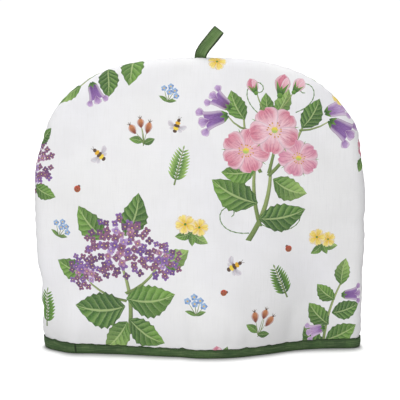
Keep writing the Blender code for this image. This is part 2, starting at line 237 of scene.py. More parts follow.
def edge_profile(half_width, crown):
    """A half section from the middle to the seam: for shares of its cloth, the share of the half width
    reached, and how much of the rounded edge stands there."""
    flat = np.linspace(0, half_width - EDGE_RADIUS, 120)
    turn = np.linspace(0, math.pi / 2, 80)
    across = np.concatenate([flat, half_width - EDGE_RADIUS + EDGE_RADIUS * np.sin(turn[1:])])
    edge = np.concatenate([np.ones_like(flat), np.cos(turn[1:])])
    depth = EDGE_RADIUS * edge + crown * (1 - (across / half_width) ** 2) ** CROWN_POWER
    steps = np.hypot(np.diff(across), np.diff(depth))
    length = np.concatenate([[0], np.cumsum(steps)])
    return length / length[-1], across / half_width, edge, length[-1]


CLOTH_SHARE, WIDTH_SHARE, EDGE_SHARE, PATTERN_HALF = edge_profile(
    BODY_WIDTH / 2, WAIST_DEPTH - EDGE_RADIUS
)
PATTERN_UPPER = edge_profile(SEAM_TOP - WAIST_HEIGHT, WAIST_DEPTH - EDGE_RADIUS)[3]
PATTERN_LOWER = WAIST_HEIGHT + 0.001


def seam_share(u, v):
    """0 in the middle of the pattern and 1 on its seam."""
    up = np.maximum(v - PATTERN_LOWER, 0) / PATTERN_UPPER
    return (np.abs(u / PATTERN_HALF) ** DOME_POWER + up**DOME_POWER) ** (1 / DOME_POWER)


def hem_lift(across):
    return HEM_LIFT + CORNER_LIFT * np.abs(across) ** 24


def half_width_at(x, z):
    hem = np.where(x < 0, LEFT_HEM_HALF, RIGHT_HEM_HALF)
    fall = np.clip(1 - z / WAIST_HEIGHT, 0, 1) ** SIDE_POWER
    return BODY_WIDTH / 2 - (BODY_WIDTH / 2 - hem) * fall


def pressed_by_folds(x, z, folds):
    total = np.zeros_like(x)
    for fold in folds:
        far = ((x - fold["x"]) / fold["reach_x"]) ** 2 + ((z - fold["z"]) / fold["reach_z"]) ** 2
        total += fold["depth"] * np.exp(-far)
    return total


def drawn_by_tucks(x, z):
    total = np.zeros_like(x)
    for tuck in EDGE_TUCKS:
        beside = np.sign(x) == tuck["side"]
        total += beside * tuck["draw"] * np.exp(-(((z - tuck["z"]) / tuck["reach"]) ** 2))
    return total


def panel_surface(u, v, facing):
    """The outer face of a panel's solid. facing is -1 for the front panel and 1 for the back one."""
    u, v = np.broadcast_arrays(np.asarray(u, float), np.asarray(v, float))
    across = u / PATTERN_HALF
    up = np.maximum(v - PATTERN_LOWER, 0) / PATTERN_UPPER
    share = seam_share(u, v)
    reach = np.interp(share, CLOTH_SHARE, WIDTH_SHARE)
    edge = np.interp(share, CLOTH_SHARE, EDGE_SHARE)
    spread = reach / np.maximum(share, 1e-9)

    lower = np.clip(v / PATTERN_LOWER, 0, 1)
    lift = hem_lift(across)
    z = lift + lower * (WAIST_HEIGHT - lift) + up * spread * (SEAM_TOP - WAIST_HEIGHT)
    x = across * spread * half_width_at(across, z)

    crown = np.clip(1 - reach**2, 0, 1) ** CROWN_POWER
    height_share = np.clip((z - WAIST_HEIGHT) / (SEAM_TOP - WAIST_HEIGHT), 0, 1)
    full_depth = WAIST_DEPTH - (WAIST_DEPTH - TOP_DEPTH) * height_share
    body = EDGE_RADIUS * edge + (full_depth - EDGE_RADIUS) * crown
    hem_table, folds = (HEM_FRONT, FRONT_FOLDS) if facing < 0 else (HEM_BACK, BACK_FOLDS)
    hem = HEM_EDGE_RADIUS * edge + smooth_curve(hem_table, "across", "crown", x)
    near_hem = 1 - smoothstep(0, HEM_REACH, z)
    inside_seam = 1 - share**8
    pressed = HEM_PRESS * (1 - smoothstep(PRESS_FROM, PRESS_TO, z))
    depth = body * (1 - near_hem) + hem * near_hem
    depth -= (pressed_by_folds(x, z, folds) + pressed) * inside_seam

    out_x = np.sign(across) * (np.abs(across) * spread) ** (DOME_POWER - 1) / (BODY_WIDTH / 2)
    out_z = (up * spread) ** (DOME_POWER - 1) / (SEAM_TOP - WAIST_HEIGHT)
    size = np.hypot(out_x, out_z) + 1e-9
    groove = HEM_GROOVE + (SEAM_GROOVE - HEM_GROOVE) * smoothstep(GROOVE_FROM, GROOVE_TO, z)
    draw = groove * np.exp(-np.maximum(depth, 0) / GROOVE_REACH)
    draw += (pressed + drawn_by_tucks(x, z)) * share**12
    x = x - draw * out_x / size
    z = z - draw * out_z / size

    wander = SEAM_WANDER * np.sin(2 * math.pi * (x / 0.23 + (z - SEAM_TOP) / 0.17))
    y = facing * (depth + SEAM_GAP / 2) + wander
    return np.stack([x, y, z], axis=-1)


def panel_normal(u, v, facing):
    """The outward normal of a panel's outer face, from small steps along it."""
    step = 0.0004
    u, v = np.broadcast_arrays(np.asarray(u, float), np.asarray(v, float))
    u = np.clip(u, step - PATTERN_HALF, PATTERN_HALF - step)
    along = panel_surface(u + step, v, facing) - panel_surface(u - step, v, facing)
    upward = panel_surface(u, v + step, facing) - panel_surface(u, np.maximum(v - step, 0), facing)
    normal = np.cross(along, upward) * -facing
    return normal / np.linalg.norm(normal, axis=-1, keepdims=True)


def wall_thickness(u, v):
    """The padding's thickness at a pattern point: less in the hem, and less still beside the seam."""
    from_seam = (1 - seam_share(u, v)) * PATTERN_HALF
    in_hem = 1 - smoothstep(PRESS_FROM, PRESS_TO, v + HEM_LIFT)
    at_seam = 1 - smoothstep(0, SEAM_WALL_REACH, from_seam)
    return WALL - np.maximum((WALL - HEM_WALL) * in_hem, (WALL - SEAM_WALL) * at_seam)


SETTLED = {}
SEED = 20
NET = 0.006
NET_HALF = int(PATTERN_HALF / NET)
UNEVEN = 0.00012
FREE_HOLD = 0.025
SETTLE_FRAMES = 22
CLOTH_SETTINGS = {
    "quality": 6, "mass": 0.15, "tension_stiffness": 15, "compression_stiffness": 15, "shear_stiffness": 6,
    "bending_stiffness": 30, "tension_damping": 10, "compression_damping": 10, "shear_damping": 10,
    "bending_damping": 2, "air_damping": 3, "vertex_group_mass": "held", "pin_stiffness": 1.0,
    "shrink_min": -0.012,
}
SETTLED_SHARE = 0.40
SETTLED_MOST = 0.0020


def settle_cloth(facing):
    """Cloth simulation of one panel's outer cloth, cut 1.2 % larger than the wadding that it lies on and sewn
    down along the seam and the binding. Keeps how far it moved out or in, on an even net over the pattern."""
    rows = int((PATTERN_LOWER + PATTERN_UPPER) / NET) + 1
    u, v = np.meshgrid(np.arange(-NET_HALF, NET_HALF + 1) * NET, np.arange(rows) * NET)
    inside = seam_share(u, v) < 1 - 0.5 * NET / PATTERN_HALF
    cells = inside[:-1, :-1] & inside[1:, :-1] & inside[:-1, 1:] & inside[1:, 1:]
    around = np.zeros(inside.shape, int)
    for a in (0, 1):
        for b in (0, 1):
            around[a : a + cells.shape[0], b : b + cells.shape[1]] += cells
    used = around > 0
    number = np.full(inside.shape, -1)
    number[used] = np.arange(used.sum())
    free = (around == 4) & (v > BINDING_LINE)

    place, normal = panel_surface(u, v, facing), panel_normal(u, v, facing)
    uneven = np.random.default_rng(SEED + facing).normal(0, UNEVEN, u.shape) * free
    start = place + normal * uneven[..., None]
    faces = []
    for i, j in np.argwhere(cells):
        a, b, c, d = (int(number[i + di, j + dj]) for di, dj in ((0, 0), (0, 1), (1, 1), (1, 0)))
        faces += [(a, b, c), (a, c, d)] if (i + j) % 2 else [(a, b, d), (b, c, d)]
    net = new_piece("settling", start[used], faces)
    held = net.vertex_groups.new(name="held")
    for index, is_free in enumerate(free[used]):
        held.add([index], FREE_HOLD if is_free else 1.0, "REPLACE")

    settling = net.modifiers.new("settling", "CLOTH")
    for key, value in CLOTH_SETTINGS.items():
        setattr(settling.settings, key, value)
    settling.settings.effector_weights.gravity = 0.0
    settling.collision_settings.use_collision = False
    settling.point_cache.frame_start = 1
    settling.point_cache.frame_end = SETTLE_FRAMES
    for step in range(1, SETTLE_FRAMES + 1):
        bpy.context.scene.frame_set(step)
    moved = net.evaluated_get(bpy.context.evaluated_depsgraph_get()).to_mesh()
    after = np.empty(len(moved.vertices) * 3)
    moved.vertices.foreach_get("co", after)
    out = np.zeros(inside.shape)
    out[used] = np.einsum("ij,ij->i", after.reshape(-1, 3) - place[used], normal[used])
    bpy.context.scene.frame_set(1)
    mesh = net.data
    bpy.data.objects.remove(net)
    bpy.data.meshes.remove(mesh)

    for _ in range(2):
        for axis in (0, 1):
            out = 0.5 * out + 0.25 * (np.roll(out, 1, axis) + np.roll(out, -1, axis))
    out *= used
    SETTLED[facing] = SETTLED_MOST * np.tanh(SETTLED_SHARE * out / SETTLED_MOST)


def settled_relief(u, v, facing):
    """Reads the settled net at any place of the pattern, by a cubic through the four nearest rows each way."""
    net = np.pad(SETTLED[facing], 2)
    column, row = u / NET + NET_HALF + 2, v / NET + 2
    i, j = np.floor(row).astype(int), np.floor(column).astype(int)
    i, j = np.clip(i, 1, net.shape[0] - 3), np.clip(j, 1, net.shape[1] - 3)

    def weights(t):
        t = np.clip(t, 0, 1)
        return [
            0.5 * (-t + 2 * t**2 - t**3),
            0.5 * (2 - 5 * t**2 + 3 * t**3),
            0.5 * (t + 4 * t**2 - 3 * t**3),
            0.5 * (t**3 - t**2),
        ]

    up, over = weights(row - i), weights(column - j)
    return sum(up[a] * over[b] * net[i + a - 1, j + b - 1] for a in range(4) for b in range(4))


def fine_relief(u, v, place, facing):
    """How far the cloth stands proud of the solid: puckers along the seam, gathers over the binding, the
    settled cloth's waves and a few creases."""
    x, z = place[..., 0], place[..., 2]
    from_seam = np.maximum((1 - seam_share(u, v)) * PATTERN_HALF, 0)
    turned = np.arctan2(np.maximum(v - PATTERN_LOWER, 0) / PATTERN_UPPER, np.abs(u) / PATTERN_HALF)
    along = np.where(v < PATTERN_LOWER, v, PATTERN_LOWER + 0.185 * turned)
    phase = 2.1 * np.sin(41 * along + facing) + 1.4 * np.sin(23 * x + 2 * facing)
    puckers = np.sin(2 * math.pi * along / PUCKER_PITCH + phase) * (0.7 + 0.3 * np.sin(61 * along + 3 * x))
    relief = PUCKER_DEPTH * puckers * np.exp(-from_seam / 0.008) * (1 - np.exp(-from_seam / 0.0012))

    over_binding = smoothstep(BINDING_LINE, 0.0165, z) * np.exp(-np.maximum(z - 0.0165, 0) / 0.011)
    gathers = np.sin(2 * math.pi * u / GATHER_PITCH + 1.7 * np.sin(47 * u + facing))
    relief += GATHER_DEPTH * gathers * over_binding * (0.75 + 0.25 * np.sin(33 * u + 1))

    above_binding = smoothstep(0.0125, 0.0190, z)
    relief += settled_relief(u, v, facing) * above_binding * (1 - np.exp(-from_seam / 0.0015))

    for crease in CREASES[facing]:
        tilt = math.radians(crease["tilt"])
        dx, dz = x - crease["x"], z - crease["z"]
        along_it = dx * math.sin(tilt) + dz * math.cos(tilt)
        over_it = dx * math.cos(tilt) - dz * math.sin(tilt)
        far = (along_it / crease["long"]) ** 2 + (over_it / crease["wide"]) ** 2
        above_hem = smoothstep(BINDING_LINE, 0.0150, z)
        relief -= crease["depth"] * np.exp(-far) * above_hem * (1 - seam_share(u, v) ** 40)
    return relief


def fine_surface(u, v, facing):
    """The outer face of the cloth, opened at the top by the thickness of the loop's two tapes."""
    place = panel_surface(u, v, facing)
    place = place + panel_normal(u, v, facing) * fine_relief(u, v, place, facing)[..., None]
    from_seam = np.maximum((1 - seam_share(u, v)) * PATTERN_HALF, 0)
    beside = np.abs(place[..., 0] - LOOP_LINE[0]["x"])
    opened = 1 - smoothstep(LOOP_WIDTH / 2 + 0.0007, LOOP_WIDTH / 2 + 0.0045, beside)
    upper = smoothstep(0.25, 0.29, place[..., 2])
    place[..., 1] += facing * 0.0019 * opened * upper * np.exp(-((from_seam / 0.009) ** 2))
    return place


# The printed pattern

PROFILES = {
    "leaf": [(0, 0.03), (0.1, 0.44), (0.25, 0.84), (0.4, 1), (0.55, 0.95), (0.7, 0.76), (0.85, 0.42),
             (0.95, 0.15), (1, 0)],
    "petal": [(0, 0.12), (0.15, 0.34), (0.35, 0.68), (0.55, 0.93), (0.72, 1), (0.86, 0.88), (0.95, 0.6),
              (1, 0.24)],
    "bell": [(0, 0.22), (0.1, 0.5), (0.3, 0.66), (0.6, 0.74), (0.85, 0.88), (1, 1)],
    "stem": [(0, 1), (0.5, 0.8), (1, 0.5)],
    "sepal": [(0, 0.9), (0.3, 1), (0.6, 0.6), (0.85, 0.22), (1, 0)],
    "drop": [(0, 0.1), (0.2, 0.62), (0.45, 0.94), (0.65, 1), (0.85, 0.7), (1, 0.05)],
}
PLAIN, LEAF, PETAL, STEM = 0, 1, 2, 3
INKS = {
    "green": {"dark": (46, 88, 30), "mid": (70, 116, 38), "fresh": (106, 150, 56), "pale": (158, 190, 104)},
    "pink": {"deep": (192, 92, 118), "mid": (212, 132, 150), "dusk": (214, 142, 166), "pale": (238, 196, 204),
             "blush": (246, 222, 226)},
    "violet": {"deep": (108, 72, 140), "mid": (142, 104, 170), "pale": (194, 168, 210)},
    "mauve": {"deep": (104, 66, 112), "mid": (146, 94, 126), "pale": (184, 142, 176)},
    "yellow": {"deep": (224, 172, 36), "mid": (236, 206, 62), "pale": (244, 228, 128)},
    "rust": {"deep": (136, 66, 40), "mid": (166, 92, 52), "bright": (196, 74, 48), "pale": (206, 140, 88)},
    "blue": {"deep": (96, 130, 186), "mid": (146, 176, 214)},
    "brown": {"deep": (84, 62, 48), "mid": (126, 96, 66)},
    "wing": {"deep": (176, 178, 184), "mid": (180, 182, 188), "pale": (214, 216, 220),
             "clear": (216, 218, 222)},
    "stem": {"deep": (112, 134, 70), "pale": (156, 170, 108)},
}


def inks_of(words):
    """A blade's two inks, from words such as "green mid fresh" or "yellow deep rust mid"."""
    words = words.split()
    return INKS[words[0]][words[1]], INKS[words[-2] if len(words) == 4 else words[0]][words[-1]]


def half_at(profile, t):
    if profile == "round":
        return np.sqrt(np.clip(1 - (2 * t - 1) ** 2, 0, 1))
    rows = np.array(PROFILES[profile])
    return np.interp(t, rows[:, 0], rows[:, 1])


def turned(x, y, turn, over, up):
    """The point `over` to the right of (x, y) and `up` from it, turned clockwise by `turn` degrees."""
    a = math.radians(turn)
    return x + over * math.cos(a) + up * math.sin(a), y + up * math.cos(a) - over * math.sin(a)


class Drawing:
    """Collects the blades that every motif is drawn with, in millimetres on the flat pattern."""

    def __init__(self, seed):
        self.blades = []
        self.random = random.Random(seed)
        self.place(0, 0)

    def place(self, x, y, turn=0, size=1, flip=1):
        """Moves the origin that the next motifs are drawn from; `turn` is in degrees from upright."""
        a = math.radians(turn)
        spin = size * np.array([[math.cos(a) * flip, math.sin(a)], [-math.sin(a) * flip, math.cos(a)]])
        self.frame = [np.array([x, y], float), spin]

    def to_pattern(self, x, y):
        return self.frame[0] + self.frame[1] @ np.array([x, y], float)

    def each(self, motif, *rows):
        for row in rows:
            motif(*row)

    def blade(self, x, y, turn, length, half, profile, kind, inks, steps=8, bend=0.0, teeth=0, notch=0.0):
        """One shape along a bent line from (x, y), `turn` degrees clockwise from upright."""
        a = math.radians(turn)
        along = np.array([math.sin(a), math.cos(a)]) * length
        side = np.array([math.cos(a), -math.sin(a)])
        self.blades.append({
            "origin": self.to_pattern(x, y), "matrix": self.frame[1] @ np.stack([along, side], axis=1),
            "half": half, "profile": profile, "bend": bend, "kind": kind, "steps": steps,
            "inks": inks_of(inks) if isinstance(inks, str) else inks, "teeth": teeth, "notch": notch,
        })

    def disc(self, x, y, radius, inks, steps=7):
        self.blade(x, y - radius, 0, 2 * radius, radius, "round", PLAIN, inks, steps)

    def stem(self, x, y, turn, length, half, bend=0.0, inks="stem deep pale", steps=None):
        self.blade(x, y, turn, length, half, "stem", STEM, inks, steps or max(3, int(length / 7)), bend)
        return turned(x, y, turn, 0, length)

    def tendril(self, x, y, turn, length, curl):
        """A thin curling thread: short stems, each turned further than the last."""
        steps = 14
        for k in range(steps):
            far = length / steps * (1.4 - 0.8 * k / steps)
            self.stem(x, y, turn, far * 1.1, 0.46, 0, "green mid fresh", 1)
            x, y = turned(x, y, turn, 0, far)
            turn += curl * (0.3 + 1.7 * k / steps)

    def leaf(self, x, y, turn, length, half, bend, tones, teeth=0):
        steps = max(6, 2 * teeth) if teeth else max(6, min(14, int(length / 2.6)))
        self.blade(x, y, turn, length, half, "leaf", LEAF, "green " + tones, steps, bend, teeth)

    def rose(self, x, y, radius, turn=0, squash=1.0, inks="pink pale mid"):
        """A wild rose with five broad petals, a tuft of stamens and green sepals between the petals."""
        kept = self.frame
        self.frame = [self.to_pattern(x, y), kept[1] @ np.diag([1, squash])]
        for k in range(5):
            lean = turn + 36 + 72 * k
            self.blade(0, 0, lean, radius * 1.02, radius * 0.10, "sepal", PLAIN, "green mid fresh", 4)
        for k in (0, 2, 4, 1, 3):
            self.blade(0, 0, turn + 72 * k, radius, radius * 0.50, "petal", PETAL, inks, 10, notch=0.10)
        for k in range(13):
            a = turn + 360 / 13 * k + self.random.uniform(-8, 8)
            far = radius * self.random.uniform(0.24, 0.33)
            self.blade(0, 0, a, far, 0.22, "stem", PLAIN, "yellow deep mid", 2)
            self.disc(*turned(0, 0, a, 0, far), radius * 0.034, "yellow deep rust mid", 4)
        self.disc(0, 0, radius * 0.13, "green pale yellow mid", 6)
        self.frame = kept

    def rosebud(self, x, y, turn, length, inks="pink deep mid"):
        self.blade(x, y, turn, length, length * 0.36, "drop", PETAL, inks)
        fold, bend = length * 0.17, 0.05 * length
        self.blade(x, y, turn + 9, length * 0.9, fold, "drop", PETAL, "pink mid pale", 7, bend)
        for lean, far in ((-24, 0.72), (0, 0.5), (24, 0.7)):
            self.blade(x, y, turn + lean, length * far, length * 0.10, "sepal", PLAIN, "green dark fresh", 5)
        self.disc(x, y, length * 0.13, "green mid fresh", 6)

    def bellflower(self, x, y, turn, length, inks="violet deep mid"):
        """A hanging bell with three lobes at its mouth."""
        lobe = (inks_of(inks)[1], INKS["violet"]["pale"])
        for side in (-1, 1):
            mouth = turned(x, y, turn, side * length * 0.26, length * 0.78)
            lean, bend = turn + 34 * side, 0.36 * side
            self.blade(*mouth, lean, length * 0.38, length * 0.17, "petal", PETAL, lobe, 6, bend)
        self.blade(x, y, turn, length * 0.86, length * 0.40, "bell", PETAL, inks)
        mouth = turned(x, y, turn, 0, length * 0.7)
        self.blade(*mouth, turn, length * 0.42, length * 0.21, "petal", PETAL, lobe, 6)
        for lean in (-52, 0, 52):
            self.blade(x, y, turn + lean, length * 0.30, length * 0.075, "sepal", PLAIN, "green dark fresh", 4)

    def floret(self, x, y, radius, turn, inks):
        """One of a round head's many small flowers, with four petals."""
        for k in range(4):
            self.blade(x, y, turn + 90 * k, radius, radius * 0.40, "drop", PLAIN, inks, 5)
        self.disc(x, y, radius * 0.15, "yellow pale mid", 3)

    def round_head(self, x, y, radius, floret=5.2, squash=1.0):
        """A round head of florets, darker and smaller towards its rim, spread by the golden angle."""
        spots = []
        count = int(1.45 * (radius / floret) ** 2 * squash) + 5
        for k in range(count):
            far = math.sqrt((k + 0.4) / count)
            a = 2.39996 * k + self.random.uniform(-0.2, 0.2)
            spots.append((far, x + far * radius * math.cos(a), y + far * radius * squash * math.sin(a)))
        for far, sx, sy in spots:
            under = "mauve deep deep" if self.random.random() < 0.7 else "green mid mauve deep"
            self.disc(sx, sy, floret * (0.80 - 0.3 * far), under, 3)
        tones = ["deep", "mid", "mid", "pale"]
        for far, sx, sy in sorted(spots, reverse=True):
            colour = "mauve" if self.random.random() < 0.6 else "violet"
            tone = self.random.choice(tones[:3] if far > 0.6 else tones[1:])
            low = "deep" if tone != "pale" else "mid"
            size = floret * (1.05 - 0.25 * far) * self.random.uniform(0.9, 1.1)
            self.floret(sx, sy, size, self.random.uniform(0, 90), f"{colour} {low} {tone}")

    def primrose(self, x, y, radius, turn=0):
        for k in range(5):
            self.blade(x, y, turn + 72 * k, radius, radius * 0.46, "petal", PETAL, "yellow mid pale", 7,
                       notch=0.16)
        for k in range(5):
            self.blade(x, y, turn + 72 * k, radius * 0.42, radius * 0.10, "sepal", PLAIN, "yellow deep mid", 3)
        self.disc(x, y, radius * 0.13, "green fresh mid", 5)

    def primrose_clump(self, x, y, size, turn=0):
        self.leaf(x, y, turn + 118, size * 1.1, size * 0.3, 1.5, "mid pale")
        self.leaf(x, y, turn - 112, size * 1.0, size * 0.28, -1.5, "dark fresh")
        self.leaf(x, y, turn + 172, size * 0.8, size * 0.22, 0, "mid fresh")
        self.primrose(x + size * 0.40, y + size * 0.28, size * 0.52, turn + 10)
        self.primrose(x - size * 0.38, y + size * 0.46, size * 0.58, turn + 40)

    def forget_me_not(self, x, y, size, turn=0):
        """A small sprig of blue five-petalled flowers."""
        spots = [(-0.42, 1.0, 8), (0.05, 1.22, 0), (0.40, 0.94, 10), (0.02, 0.78, -6), (0.58, 0.56, 16)]
        for sx, sy, _ in spots:
            lean = math.degrees(math.atan2(sx, sy))
            self.stem(x, y, turn + lean, math.hypot(sx, sy) * size, 0.45, steps=2)
        self.leaf(x, y, turn - 62, size * 0.8, size * 0.15, 0.8, "mid fresh")
        self.leaf(x, y, turn + 74, size * 0.7, size * 0.14, -0.8, "dark fresh")
        for sx, sy, spin in spots:
            flower = turned(x, y, turn, size * sx, size * sy)
            for k in range(5):
                inks = "blue mid deep" if k % 2 else "blue mid mid"
                self.blade(*flower, spin + 72 * k, size * 0.24, size * 0.105, "drop", PLAIN, inks, 5)
            self.disc(*flower, size * 0.06, "yellow mid deep", 4)

    def rosehips(self, x, y, size, turn=0):
        self.stem(x, y, turn + 6, size * 0.9, 0.6, 1.0)
        self.leaf(x, y + size * 0.2, turn - 66, size * 0.75, size * 0.2, 0.8, "mid fresh")
        self.leaf(x, y + size * 0.1, turn + 78, size * 0.62, size * 0.18, 0, "dark mid")
        for lean, far, long in ((-22, 0.72, 0.56), (26, 0.62, 0.62), (4, 0.9, 0.5)):
            lean += turn
            foot = turned(x, y, lean, 0, size * far)
            self.stem(x, y + size * 0.1, lean, size * far * 0.96, 0.45, steps=2)
            self.blade(*foot, lean, size * long, size * 0.19, "drop", PETAL, "rust deep pale")
            tip = turned(*foot, lean, 0, size * long * 0.93)
            for spread in (-38, 0, 38):
                self.blade(*tip, lean + spread, size * 0.20, 0.5, "sepal", PLAIN, "brown deep mid", 2)

    def fern(self, x, y, length, turn=0, pairs=8, tones="mid pale"):
        """A frond: leaflets in pairs on a thin stalk, shorter towards its tip."""
        inks = "green " + tones
        for k in range(pairs):
            t = 0.14 + 0.8 * k / pairs
            long = length * 0.30 * math.sin(math.pi * (0.30 + 0.62 * t)) + 1.2
            foot = turned(x, y, turn, 0, length * t)
            for side in (-1, 1):
                self.blade(*foot, turn + side * 52, long, long * 0.135, "leaf", PLAIN, inks, 4)
        tip = turned(x, y, turn, 0, length * 0.93)
        self.blade(*tip, turn, length * 0.12, 0.9, "leaf", PLAIN, inks, 4)
        self.stem(x, y, turn, length, 0.9)

    def bumblebee(self, x, y, size, turn=0):
        for side in (-1, 1):
            self.blade(x, y, turn + 74 * side, size * 0.95, size * 0.24, "petal", PETAL, "wing deep pale", 6,
                       1.2 * side)
            self.blade(x, y - size * 0.1, turn + 112 * side, size * 0.66, size * 0.17, "petal", PETAL,
                       "wing mid clear", 5)
        bands = ("brown deep deep", "yellow mid mid", "brown deep deep", "yellow deep deep", "brown deep deep")
        for k, (band, wide) in enumerate(zip(bands, (0.20, 0.27, 0.29, 0.25, 0.17))):
            foot = turned(x, y, turn, 0, size * (-0.62 + 0.27 * k))
            self.blade(*foot, turn, size * 0.34, size * wide, "round", PLAIN, band, 5)
        head = turned(x, y, turn, 0, size * 0.7)
        for side in (-1, 1):
            self.blade(*head, turn + 24 * side, size * 0.34, 0.28, "stem", PLAIN, "brown deep deep", 2)

    def ladybird(self, x, y, size, turn=0):
        self.disc(*turned(x, y, turn, 0, size * 0.55), size * 0.26, "brown deep deep", 5)
        self.disc(x, y, size * 0.58, "rust mid bright", 8)
        tail = turned(x, y, turn, 0, -size * 0.57)
        self.blade(*tail, turn, size * 1.12, 0.3, "stem", PLAIN, "brown deep deep", 3)
        for sx, sy in ((-0.28, 0.18), (0.28, 0.18), (-0.26, -0.2), (0.26, -0.2)):
            self.disc(*turned(x, y, turn, size * sx, size * sy), size * 0.105, "brown deep deep", 4)

    def rose_spray(self, x, y, turn=0, size=1, flip=1):
        """The large spray: wild roses, buds and bellflowers on branching stems. About 130 mm tall."""
        self.place(x, y, turn, size, flip)
        self.each(self.stem, (-6, -8, 10, 62, 2.2, 5), (2, 4, -8, 58, 1.7, -4), (4, 44, 30, 52, 1.5, 3),
                  (-2, 46, -22, 46, 1.4, -3), (4, 46, 4, 62, 1.3, 2), (26, 82, 68, 26, 0.9, 2),
                  (-14, 78, -62, 20, 0.9, -2))
        self.each(self.tendril, (22, 96, 62, 46, -25), (-8, 92, -50, 46, 25), (-6, -2, -96, 50, 24),
                  (2, 6, 112, 56, -22))
        self.each(self.leaf,
                  (0, 10, 74, 38, 12, 3, "dark mid", 7), (-2, 22, -68, 40, 13, -3, "dark fresh", 7),
                  (8, 42, 108, 30, 10, 3, "mid pale", 6), (-6, 48, -100, 27, 9, -2, "mid fresh", 6),
                  (28, 84, 26, 28, 9, 2, "dark mid", 6), (-18, 86, -30, 26, 8.5, -2, "mid fresh", 6),
                  (6, 92, 22, 24, 7, 1, "mid pale", 5), (2, 88, -14, 22, 6.5, -1, "dark fresh", 5))
        self.each(self.bellflower, (50, 92, 118, 22), (46, 98, 66, 20, "violet mid pale"),
                  (-32, 88, -112, 21), (-30, 94, -60, 18, "mauve deep violet mid"))
        self.rosebud(8, 108, 8, 18)
        self.stem(4, 90, 34, 26, 0.8, 1)
        self.rosebud(19, 112, 30, 14, "pink mid pale")
        self.stem(0, 90, -30, 22, 0.8, -1)
        self.rosebud(-11, 108, -28, 13)
        self.each(self.rose, (-15, 62, 19, 14, 0.92), (27, 60, 17, -20, 0.86, "pink pale dusk"),
                  (6, 80, 20, 40, 0.95, "pink blush mid"))

    def head_spray(self, x, y, turn=0, size=1, flip=1):
        """Round mauve heads over broad leaves. About 115 mm tall."""
        self.place(x, y, turn, size, flip)
        self.each(self.stem, (-2, -14, 2, 56, 2.0, 4), (0, 18, 52, 40, 1.3, 4), (0, 12, -56, 38, 1.2, -4))
        self.each(self.leaf,
                  (-2, 8, -84, 42, 15, -4, "dark mid", 8), (0, 14, 88, 40, 14, 4, "mid fresh", 8),
                  (0, -2, 128, 34, 11, 3, "dark fresh", 7), (-2, -4, -132, 30, 10, -2, "mid pale", 6),
                  (30, 40, 70, 26, 9, 2, "mid pale", 6), (-30, 36, -62, 26, 9, -2, "mid fresh", 6),
                  (6, 64, 24, 36, 11, 3, "dark mid", 7), (-10, 62, -34, 34, 11, -3, "mid fresh", 7))
        self.each(self.round_head, (33, 42, 15, 3.5), (-31, 38, 14, 3.4), (0, 55, 28, 4.0, 0.9))

    def leafy_branch(self, x, y, turn=0, size=1, flip=1):
        """A branch of plain leaves with a few bellflowers, cut by a seam where it meets one."""
        self.place(x, y, turn, size, flip)
        self.stem(0, 0, 0, 84, 1.8, 5)
        tones = ("dark mid", "mid fresh", "dark fresh")
        leaves = ((10, 1, 34), (22, -1, 36), (38, 1, 32), (50, -1, 31), (64, 1, 26))
        for k, (far, side, long) in enumerate(leaves):
            lean = side * (50 + 3 * k)
            self.leaf(2 + 0.2 * side, far, lean, long, long * 0.33, side * 2, tones[k % 3], 6)
        self.leaf(0, 80, 4, 28, 9, 1, "mid pale", 6)
        self.bellflower(-4, 70, -74, 19)
        self.bellflower(6, 34, 116, 18, "violet mid pale")


def front_drawing():
    d = Drawing(4)
    d.rose_spray(58, 128, 6, 1.32)
    d.head_spray(-76, 38, -6, 1.32)
    d.leafy_branch(-52, 334, -126, 1.15, 1)
    d.leafy_branch(134, -16, 12, 1.05, -1)
    d.place(0, 0)
    d.round_head(-182, 196, 27, 4.6, 1.25)
    d.each(d.leaf, (-176, 172, 116, 27, 9, 2, "mid fresh", 6), (-178, 220, 54, 25, 8, 2, "dark mid", 6))
    d.rose(182, 214, 14, 10, 0.9)
    d.leaf(178, 202, -150, 18, 6, 1, "mid fresh", 5)
    d.each(d.forget_me_not, (-4, 42, 16, -8), (-150, 118, 14, 16), (-150, 262, 15, -30))
    d.each(d.primrose_clump, (-8, 128, 18, 8), (128, 112, 16, -20))
    d.each(d.bumblebee, (34, 92, 12, 62), (-104, 206, 12, -48), (-24, 236, 11, 20))
    d.each(d.ladybird, (-128, 170, 6.2, 30), (92, 108, 6, -35), (24, 66, 5.6, 80))
    d.each(d.rosehips, (-58, 216, 21, -12), (60, 18, 21, 14))
    d.each(d.fern, (-26, 176, 40, 14, 9), (92, 56, 38, -24, 9, "dark fresh"),
           (-172, 22, 40, 6, 9, "mid fresh"))
    d.forget_me_not(-34, 262, 14, 10)
    d.each(d.primrose, (18, 306, 10, 15), (150, 268, 9, 40))
    d.each(d.leaf, (20, -9, 24, 21, 6, 1, "dark mid", 5), (16, -9, -40, 18, 6, 1, "mid fresh", 5))
    d.rosebud(19, -7, -6, 18)
    return d.blades


